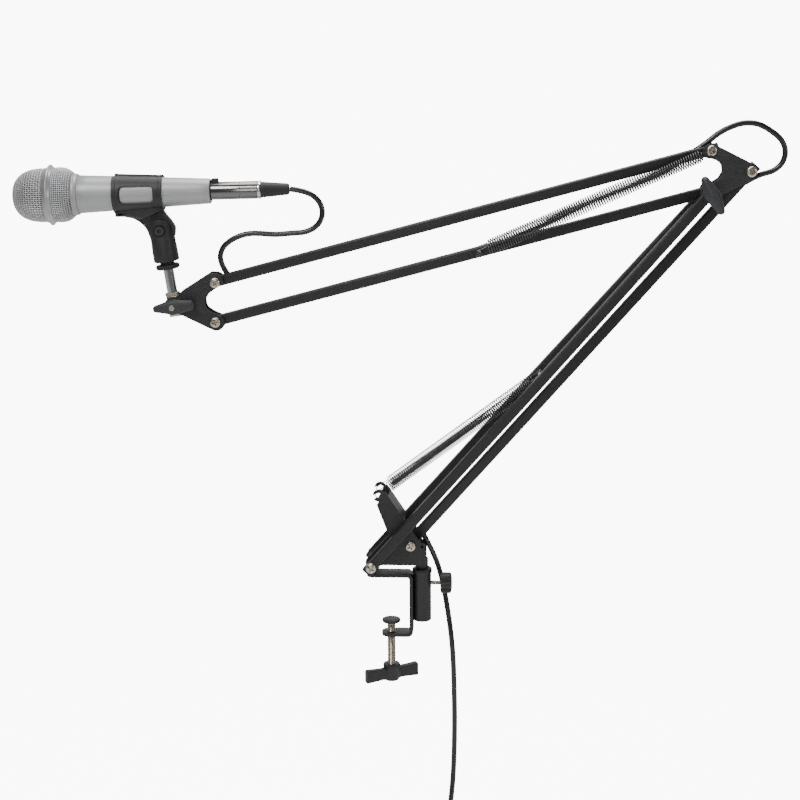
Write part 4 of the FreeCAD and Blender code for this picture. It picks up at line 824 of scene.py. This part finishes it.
# ------------------------------------------------------------------ clip sleeve
X0, X1, BX, ML = 92.7, 137.8, 60.7, 180.8


def mic_r(x):
    return 17.35 + (11.4 - 17.35) * (x - BX) / (ML - 1.5 - BX)


kin = MIC.inverted() @ Vector((K[0], 0, K[1]))
og, wl = 0.3, 2.2
sl = lathe([(X0, mic_r(X0) + og + 0.4), (X0, mic_r(X0) + og + wl - 0.3), (X0 + 0.4, mic_r(X0) + og + wl), (X0 + 3.2, mic_r(X0 + 3) + og + wl), (X0 + 3.6, mic_r(X0 + 3.6) + og + wl - 0.25), (X1 - 3.2, mic_r(X1 - 3.2) + og + wl - 0.25), (X1 - 2.8, mic_r(X1 - 2.8) + og + wl),
            (X1 - 0.4, mic_r(X1) + og + wl), (X1, mic_r(X1) + og + wl - 0.3), (X1, mic_r(X1) + og), (X0, mic_r(X0) + og)], 128, "X")
tang = moved(slab([arc_points([(X0 + 0.8, -12.0), (X0 + 0.6, -20.9, 1.2), (X0 + 6.5, -20.9, 4.0), (X0 + 17.0, -23.0, 20.0), (X0 + 28.3, -30.8, 20.0), (kin.x - 10.6, kin.z - 6.5, 5.0), (kin.x - 9.0, kin.z - 10.2, 4.0), (kin.x + 2.0, kin.z - 14.4, 9.0), (kin.x + 12.2, kin.z - 7.5, 9.0),
                               (kin.x + 13.4, kin.z + 2.2, 7.0), (kin.x + 9.4, kin.z + 9.0, 8.0), (kin.x + 5.6, kin.z + 13.5, 4.0), (kin.x + 1.6, -13.4), (X1 - 2.0, -11.0)], 10)], 8.0, edge=0.6, res=2), XZ)
saddle = moved(slab([arc_points([(X0 + 0.6, -8.0), (X0 + 0.5, -20.7, 1.2), (X0 + 13.0, -20.9, 9.0), (X0 + 24.0, -23.6, 9.0), (X0 + 36.0, -20.0, 9.0), (X1 - 1.0, -15.6, 2.0), (X1 - 1.0, -8.0)], 10)], 19.0, edge=3.4, res=4), XZ)
boolean(sl, saddle, "UNION")
boolean(sl, tang, "UNION")
inner = lathe([(X0 - 5, 0), (X0 - 5, mic_r(X0 - 5) + og), (X1 + 5, mic_r(X1 + 5) + og), (X1 + 5, 0)], 128, "X")
boolean(sl, inner)
mouth = moved(slab([[(0, 0), (4.7, 17.6), (8.0, 30.0), (-12.7, 30.0), (-7.4, 17.6)]], 400.0, edge=0.02, res=0), ALONG)
boolean(sl, mouth)
for sgn in (-1, 1):
    rings = []
    for yy, g in ((10.0, -0.2), (15.2, 0.1), (18.2, 1.7), (24.0, 4.8)):
        pts2 = arc_points([(X0 + 7.6 - g, -8.6 - g, 3.9), (X0 + 37.0 + g, -8.6 - g, 3.9), (X0 + 37.0 + g, 8.0 + g, 3.9), (X0 + 7.6 - g, 8.0 + g, 3.9)], 6)
        rings.append([(u, sgn * yy, v) for u, v in pts2])
    boolean(sl, loft(rings))
bore = lathe([(-20, 0), (-20, 2.55), (20, 2.55), (20, 0)], 32, "Y")
boolean(sl, moved(bore, place(kin.x, 0, kin.z)))
bevel(sl, 0.35, 2, 45)
finish_piece(moved(sl, MIC), "vis_clip_sleeve", "black_plastic", body="clip", nodes=["clip_sleeve"], sharp=30)

# ------------------------------------------------------------------ microphone
mr = mic_r(ML - 1.5)
bodyp = [(55.8, 14.6), (55.8, 15.6), (60.7, 15.6), (60.72, 17.2), (61.0, 17.35)] + [(BX + (ML - 1.5 - BX) * k / 12, mic_r(BX + (ML - 1.5 - BX) * k / 12)) for k in range(1, 12)] + [(ML - 1.3, mr), (ML - 0.4, mr - 0.35), (ML, mr - 1.0), (ML, 9.6), (150.0, 9.6), (140, 11), (70, 14.0)]
mbody = lathe(bodyp, 128, "X")
finish_piece(moved(mbody, MIC), "vis_mic_body", "mic_paint", body="mic", nodes=["mic_body"])
col = lathe([(56.0, 15.75), (56.0, 18.5), (56.3, 19.0), (57.6, 19.0), (57.8, 18.7), (58.2, 18.7), (58.4, 18.9), (60.0, 18.5), (60.6, 17.9), (60.6, 15.75)], 128, "X")
finish_piece(moved(col, MIC), "vis_mic_collar", "mic_paint", body="mic", nodes=["mic_collar"])
GR = 24.4


def dome_at(q):
    """(x, radius) on the front grille's profile, q from 0 at the tip to 1 at the ring."""
    t = math.pi / 2 * q
    return 29.4 * (1 - math.cos(t) ** 0.8), GR * math.sin(t) ** 0.8


prof_len = [0.0]
samples = [dome_at(k / 200) for k in range(201)]
for u, v in zip(samples, samples[1:]):
    prof_len.append(prof_len[-1] + math.hypot(v[0] - u[0], v[1] - u[1]))
DOME = prof_len[-1]


def dome_by_length(s):
    """(x, radius, outward x, outward r) at arc length s from the tip, carried on straight along the cylinder past the ring's edge."""
    if s >= DOME:
        return 29.4 + (s - DOME), GR, 0.0, 1.0
    lo = 0
    hi = 200
    while hi - lo > 1:
        md = (lo + hi) // 2
        if prof_len[md] <= s:
            lo = md
        else:
            hi = md
    f_ = (s - prof_len[lo]) / max(1e-9, prof_len[hi] - prof_len[lo])
    x = samples[lo][0] + f_ * (samples[hi][0] - samples[lo][0])
    rad = samples[lo][1] + f_ * (samples[hi][1] - samples[lo][1])
    dx, dr = samples[hi][0] - samples[lo][0], samples[hi][1] - samples[lo][1]
    l = math.hypot(dx, dr)
    return x, rad, -dr / l, dx / l


def ribbon_strand(rows, wire=0.30, sides=5):
    """Tubes, one per list of (point, normal), as one set of vertices and faces."""
    verts, faces = [], []
    for pts in rows:
        if len(pts) < 2:
            continue
        base = len(verts)
        for i, (q, nrm) in enumerate(pts):
            t = (pts[min(i + 1, len(pts) - 1)][0] - pts[max(i - 1, 0)][0]).normalized()
            nn = (nrm - t * nrm.dot(t)).normalized()
            b = t.cross(nn)
            for k in range(sides):
                w_ = 2 * math.pi * k / sides
                verts.append(q + nn * (wire * math.cos(w_)) + b * (wire * math.sin(w_)))
        for i in range(len(pts) - 1):
            for k in range(sides):
                k2 = (k + 1) % sides
                faces.append((base + i * sides + k, base + i * sides + k2, base + (i + 1) * sides + k2, base + (i + 1) * sides + k))
        faces.append(tuple(base + k for k in range(sides))[::-1])
        faces.append(tuple(base + (len(pts) - 1) * sides + k for k in range(sides)))
    return verts, faces


def dome_face(y, z, lift):
    """A point of the pressed face, straight back from (y, z), with its outward normal."""
    rad = math.hypot(y, z)
    t = math.asin(min(1.0, (rad / GR) ** 1.25))
    x = 29.4 * (1 - math.cos(t) ** 0.8)
    gx, gr = -((29.4 - x) / 29.4) ** 1.5 / 29.4, (rad / GR) ** 1.5 / GR
    l = math.hypot(gx, gr)
    c, s_ = (y / rad, z / rad) if rad > 1e-6 else (1.0, 0.0)
    nrm = Vector((gx / l, gr / l * c, gr / l * s_))
    return Vector((x, y, z)) + nrm * lift, nrm


rows = []
PITCH, EDGE = 1.95, 17.9
for direction in (0, 1):
    for i in range(-9, 10):
        cur = []
        for k in range(-20, 21):
            u, v = i * PITCH, k * PITCH / 2
            if math.hypot(u, v) > EDGE:
                continue
            up_ = 0.0 if k % 2 else (0.24 if ((i + k // 2 + direction) % 2 == 0) else -0.24)
            cur.append(dome_face(u, v, up_ - 0.42) if direction == 0 else dome_face(v, u, up_ - 0.42))
        rows.append(cur)
s0 = 0.0
while dome_by_length(s0)[1] < 17.3:
    s0 += 0.05
NS, ND = 80, 11
gap = (DOME + 2.2 - s0) / ND
for j in range(NS):
    cur = []
    for k in range(2 * ND + 1):
        x, rad, nx_, nr = dome_by_length(s0 + gap * k / 2)
        th = 2 * math.pi * j / NS
        nrm = Vector((nx_, nr * math.cos(th), nr * math.sin(th)))
        up_ = 0.0 if k % 2 else (0.22 if (j + k // 2) % 2 == 0 else -0.22)
        cur.append((Vector((x, rad * math.cos(th), rad * math.sin(th))) + nrm * (up_ - 0.42), nrm))
    rows.append(cur)
for k in range(ND + 1):
    x, rad, nx_, nr = dome_by_length(s0 + gap * k)
    cur = []
    for j in range(2 * NS + 1):
        th = math.pi * j / NS
        nrm = Vector((nx_, nr * math.cos(th), nr * math.sin(th)))
        up_ = 0.0 if j % 2 else (-0.22 if (j // 2 + k) % 2 == 0 else 0.22)
        cur.append((Vector((x, rad * math.cos(th), rad * math.sin(th))) + nrm * (up_ - 0.42), nrm))
    rows.append(cur)
vv, ff = ribbon_strand(rows, wire=0.40)
gf = obj_of("grille", vv, ff)
finish_piece(moved(gf, MIC), "vis_grille_front", "grille", body="mic", nodes=["mic_grille_front"], sharp=0)
# rear grille: rings and lengthwise wires woven over the cone
rearp = [(38.2, GR), (41.0, GR + 0.45), (44.7, GR + 0.6), (48.0, GR + 0.2), (50.4, GR - 0.6), (52.3, GR - 1.5), (54.6, GR - 3.2), (56.7, 19.1)]


def rear_at(x):
    for (xa, ra), (xb, rb) in zip(rearp, rearp[1:]):
        if x <= xb:
            q = (x - xa) / (xb - xa)
            return ra + (rb - ra) * q, (xb - xa, rb - ra)
    return rearp[-1][1], (1, 0)


def rear_point(x, th, lift):
    rad, (dx, dr) = rear_at(x)
    l = math.hypot(dx, dr)
    nrm = Vector((-dr / l, dx / l * math.cos(th), dx / l * math.sin(th)))
    return Vector((x, rad * math.cos(th), rad * math.sin(th))) + nrm * (lift - 0.42), nrm


NM, NR = 80, 10
rows = []
for j in range(NM):
    rows.append([rear_point(37.6 + (56.6 - 37.6) * k / (2 * NR), 2 * math.pi * j / NM, 0.0 if k % 2 else (0.24 if (j + k // 2) % 2 else -0.24)) for k in range(2 * NR + 1)])
for i in range(NR + 1):
    x = 37.6 + (56.6 - 37.6) * i / NR
    rows.append([rear_point(x, math.pi * k / NM, 0.0 if k % 2 else (-0.24 if (k // 2 + i) % 2 else 0.24)) for k in range(2 * NM + 1)])
vv, ff = ribbon_strand(rows, wire=0.37)
gr_ = obj_of("grille", vv, ff)
finish_piece(moved(gr_, MIC), "vis_grille_rear", "grille", body="mic", nodes=["mic_grille_rear"], sharp=0)
ringp = [(31.4, 23.2), (31.3, 24.4), (31.7, 25.0), (33.0, 25.5), (34.2, 26.6), (34.8, 27.4), (35.3, 27.6), (35.8, 27.4), (36.4, 26.6), (37.5, 25.5), (38.6, 25.0), (38.9, 24.4), (38.6, 23.2)]
rg = lathe(ringp, 144, "X")
finish_piece(moved(rg, MIC), "vis_mic_ring", "ring_metal", body="mic", nodes=["mic_ring"], sharp=45)
# foam behind the mesh, with an uneven open surface
fo = [(1.9, 0.0)]
for k in range(1, 15):
    x, rad = dome_at(k / 14)
    fo.append((x * 0.93 + 1.9, max(0.0, rad - 1.9)))
fo += [(37.0, GR - 1.8), (43.0, GR - 1.6), (50.0, GR - 2.6), (54.0, GR - 5.0), (56.0, 17.2), (56.0, 16.0)]
fm = lathe(fo, 96, "X", closed=False, wave=lambda i, t, rad: rad + 0.12 * math.sin(23 * t + i * 1.7) * math.sin(i * 2.3))
finish_piece(moved(fm, MIC), "vis_mic_foam", "foam", body="mic", nodes=["mic_foam"], sharp=0)

# plug in the tail
pe = 226.4
sh = lathe([(165.0, 7.0), (165.0, 7.9), (181.0, 7.95), (181.4, 8.05), (207.0, 8.05), (207.3, 7.85), (207.9, 7.85), (208.2, 8.05), (222.6, 8.05), (222.8, 7.6), (223.4, 7.6), (223.6, 7.0)], 96, "X")
lc = block(181.4, 188.2, -3.0, 3.0, 3.0, 20.0)
boolean(sh, lc)
finish_piece(moved(sh, MIC), "vis_plug_shell", "shell_metal", body="mic", nodes=["plug_shell"])
rb = lathe([(223.5, 7.0), (223.5, 8.0), (223.9, 8.15), (225.8, 8.15), (226.2, 8.0), (226.4, 7.4), (226.4, 7.0)], 96, "X")
finish_piece(moved(rb, MIC), "vis_plug_end_ring", "shell_bright", body="mic")
bt = lathe([(220.5, 2.0), (220.5, 6.95), (226.5, 6.95), (226.5, 7.1), (229.5, 7.15), (230.0, 6.95), (249.5, 5.35), (251.2, 4.95), (251.8, 4.3), (251.8, 2.0)], 72, "X")
finish_piece(moved(bt, MIC), "vis_plug_boot", "rubber", body="mic", nodes=["plug_boot"])
lt = block(181.7, 187.9, -2.7, 2.7, 5.2, 11.4, 0.7, 3)
finish_piece(moved(lt, MIC), "vis_plug_latch", "black_plastic", body="latch", nodes=["plug_latch"])

# ------------------------------------------------------------------ base and clamp
def ring_edge(prof, n=72):
    return lathe(prof, n, "Z")


so = lathe([(-43.6, 5.8), (-43.6, 8.0), (-43.2, 8.5), (2.0, 8.5), (2.8, 8.7), (3.4, 9.15), (4.2, 9.25), (6.4, 9.25), (7.2, 9.0), (7.6, 8.3), (7.6, 5.8)], 96, "Z")
hole = moved(lathe([(0, 0), (0, 2.15), (12, 2.15), (12, 0)], 32, "X"), place(0, 0, -7.1))
boolean(so, hole)
finish_piece(moved(so, place(29.3, 0, 0)), "vis_clamp_socket", "black_steel", body="clamp", nodes=["clamp_socket"])
st = lathe([(-40.6, 0), (-40.6, 4.9), (-39.8, 5.75), (17.2, 5.75), (17.2, 0)], 72, "Z", closed=False)
finish_piece(moved(st, place(29.3, 0, 0)), "vis_base_stem", "black_steel", body="column", nodes=["base_stem"])

ts = thread(0.0, 18.2, 2.0, 0.7, 0.32, 22, cham=0.7)
finish_piece(moved(ts, Matrix.Rotation(math.radians(90), 4, "Y"), place(35.1, 0, -7.1)), "vis_thumb_shank", "zinc", body="thumb_screw", nodes=["thumb_shank"], sharp=60)


def lobes(i, t, rad):
    """Six rounded lobes with valleys between them."""
    return rad * (1 - 0.27 * (0.5 - 0.5 * math.cos(6 * t)) ** 2.0) if rad > 6.5 else rad


tk = lathe([(0.0, 2.05), (0.0, 7.0), (0.3, 9.0), (0.9, 9.9), (1.6, 10.0), (8.6, 10.0), (9.4, 9.8), (10.1, 9.0), (10.5, 7.2), (10.9, 5.0), (11.0, 0.0), (7.5, 0.0), (7.5, 2.05)], 144, "X", wave=lobes)
finish_piece(moved(tk, place(46.5, 0, -7.1)), "vis_thumb_knob", "black_plastic", body="thumb_knob", nodes=["thumb_knob"], sharp=40)

sw = thread(-100.4, -47.8, 3.9, 1.25, 0.62, 30, cham=0.8)
tip = lathe([(-48.0, 0), (-48.0, 2.4), (-44.4, 2.4), (-44.4, 0)], 24, "Z", closed=False)
finish_piece(join("sw", [sw, tip]), "vis_clamp_screw", "zinc", body="screw", nodes=["clamp_screw"], sharp=60)
pd = lathe([(-43.0, 0), (-43.0, 7.9), (-43.3, 8.5), (-43.8, 8.6), (-45.2, 8.6), (-46.0, 8.2), (-46.5, 7.2), (-46.5, 2.5), (-44.3, 2.5), (-44.3, 0)], 72, "Z", closed=False)
finish_piece(pd, "vis_clamp_pad", "black_steel", body="pad", nodes=["clamp_pad"])


def handle():
    rings = []
    n = 40
    for i in range(61):
        q = math.sin((-1 + 2 * i / 60) * math.pi / 2)
        x = 27.0 * q
        k = abs(q)
        end = math.sqrt(max(0.0, 1 - max(0.0, (k - 0.965) / 0.035) ** 2))
        hh = 6.5 * (0.80 + 0.20 * k ** 1.5) * (0.80 + 0.20 * end)
        dd = (3.3 + 3.4 * max(0.0, 1 - (k / 0.36) ** 2) * (1 if k < 0.36 else 0)) * (0.90 + 0.12 * k) * (0.72 + 0.28 * end)
        ring = []
        for j in range(n):
            t = 2 * math.pi * j / n
            c, s = math.cos(t), math.sin(t)
            e = 0.26
            ring.append((x, math.copysign(abs(c) ** e, c) * dd, -97.3 + math.copysign(abs(s) ** e, s) * hh))
        rings.append(ring)
    return loft(rings)


hb = lathe([(-104.0, 3.4), (-104.0, 6.4), (-103.2, 7.2), (-101.0, 7.6), (-92.8, 7.6), (-92.0, 7.9), (-88.6, 8.1), (-87.8, 7.7), (-87.6, 6.8), (-87.6, 3.9), (-91.0, 3.4)], 72, "Z")
finish_piece(moved(join("h", [handle(), hb]), place(0, 0, 0, 0, 29.0)), "vis_clamp_handle", "black_plastic", body="screw", nodes=["clamp_handle"], sharp=35)

# strap: a bent bar with rounded bends and tips
strap = slab([arc_points([(-22.6, 0), (17.5, 0, 2.2), (17.5, -55.1, 2.2), (-9.0, -55.1), (-9.0, -58.6), (21.0, -58.6, 5.4), (21.0, 3.5, 5.4), (-22.6, 3.5)], 8)], 18.0, edge=0.35)
moved(strap, XZ)
for sy in (-1, 1):
    c = loft([[(-30, sy * 3.0, z), (-22.6, sy * 3.0, z), (-21.2, sy * 7.0, z), (-17.6, sy * 9.0, z), (-17.6, sy * 12.0, z), (-30, sy * 12.0, z)] for z in (-2, 8)])
    boolean(strap, c)
tongue = block(-30, 0, -20, 20, -61.8, -52)
boolean(tongue, lathe([(-64, 0), (-64, 9.0), (-50, 9.0), (-50, 0)], 64, "Z"))
boolean(strap, tongue)
boolean(strap, lathe([(-62, 0), (-62, 3.95), (-50, 3.95), (-50, 0)], 40, "Z"))
finish_piece(strap, "vis_clamp_frame", "black_steel", body="clamp", nodes=["clamp_frame"])

# ------------------------------------------------------------------ CAD nodes that keep their own shape
for n, key in {"base_bracket": "black_steel", "base_sleeve_a": "nickel", "base_sleeve_b": "nickel", "mic_capsule": "dark_plastic", "mic_insert": "dark_plastic"}.items():
    o = frame["nodes"][n]
    o = bpy.data.objects[o] if isinstance(o, str) else o
    o.data.materials.clear()
    o.data.materials.append(M[key])

# ------------------------------------------------------------------ studio
def floor():
    prof = []
    z0 = -0.43
    for k in range(3):
        prof.append((-4.0 + 3.0 * k, z0))
    for k in range(1, 13):
        t = math.pi / 2 * k / 12
        prof.append((3.0 + 1.5 * math.sin(t), z0 + 1.5 * (1 - math.cos(t))))
    prof.append((4.5, 5.0))
    verts, faces = [], []
    for y, z in prof:
        verts += [(-6, y, z), (6, y, z)]
    for i in range(len(prof) - 1):
        faces.append((2 * i, 2 * i + 1, 2 * i + 3, 2 * i + 2))
    me = bpy.data.meshes.new("floor")
    me.from_pydata(verts, [], faces)
    me.polygons.foreach_set("use_smooth", [True] * len(me.polygons))
    o = bpy.data.objects.new("floor", me)
    bpy.context.scene.collection.objects.link(o)
    mt = bpy.data.materials.new("floor")
    mt.use_nodes = True
    b = mt.node_tree.nodes["Principled BSDF"]
    b.inputs["Base Color"].default_value = (0.90, 0.90, 0.90, 1)
    b.inputs["Roughness"].default_value = 0.9
    b.inputs["Specular IOR Level"].default_value = 0.1
    # a lit backdrop: it looks near white and throws little light back on the object
    lp = mt.node_tree.nodes.new("ShaderNodeLightPath")
    mu = mt.node_tree.nodes.new("ShaderNodeMath")
    mu.operation = "MULTIPLY"
    mu.inputs[1].default_value = 9.0
    mt.node_tree.links.new(lp.outputs["Is Camera Ray"], mu.inputs[0])
    # the wall, not the ground, also gives the soft light that metal edges pick up
    ge = mt.node_tree.nodes.new("ShaderNodeNewGeometry")
    sx = mt.node_tree.nodes.new("ShaderNodeSeparateXYZ")
    mt.node_tree.links.new(ge.outputs["Position"], sx.inputs[0])
    gt = mt.node_tree.nodes.new("ShaderNodeMath")
    gt.operation = "GREATER_THAN"
    gt.inputs[1].default_value = -0.2
    mt.node_tree.links.new(sx.outputs["Z"], gt.inputs[0])
    ad = mt.node_tree.nodes.new("ShaderNodeMath")
    ad.operation = "ADD"
    mt.node_tree.links.new(mu.outputs[0], ad.inputs[0])
    glow = mt.node_tree.nodes.new("ShaderNodeMath")
    glow.operation = "MULTIPLY"
    glow.inputs[1].default_value = 0.5
    mt.node_tree.links.new(gt.outputs[0], glow.inputs[0])
    mt.node_tree.links.new(glow.outputs[0], ad.inputs[1])
    mt.node_tree.links.new(ad.outputs[0], b.inputs["Emission Strength"])
    b.inputs["Emission Color"].default_value = (1, 1, 1, 1)
    me.materials.append(mt)
    return o


floor()


def lamp(name, loc, target, size, power, size_y=None):
    l = bpy.data.lights.new(name, "AREA")
    l.energy = power
    l.size = size
    if size_y:
        l.shape = "RECTANGLE"
        l.size_y = size_y
    o = bpy.data.objects.new(name, l)
    bpy.context.scene.collection.objects.link(o)
    o.location = loc
    o.rotation_euler = (Vector(target) - Vector(loc)).to_track_quat("-Z", "Y").to_euler()
    return o


lamp("key", (-0.9, -1.5, 2.0), (0, 0, 0.15), 0.9, 30)
lamp("fill", (1.9, -1.3, 0.7), (0.05, 0, 0.1), 0.8, 7)
lamp("top", (0.1, 0.5, 2.1), (0, 0, 0.2), 1.5, 42)
lamp("strip", (-0.35, -2.4, 0.75), (0, 0, 0.15), 0.22, 5, 1.2)
world = bpy.data.worlds.new("world")
bpy.context.scene.world = world
world.use_nodes = True
world.node_tree.nodes["Background"].inputs["Color"].default_value = (1, 1, 1, 1)
world.node_tree.nodes["Background"].inputs["Strength"].default_value = 0.16
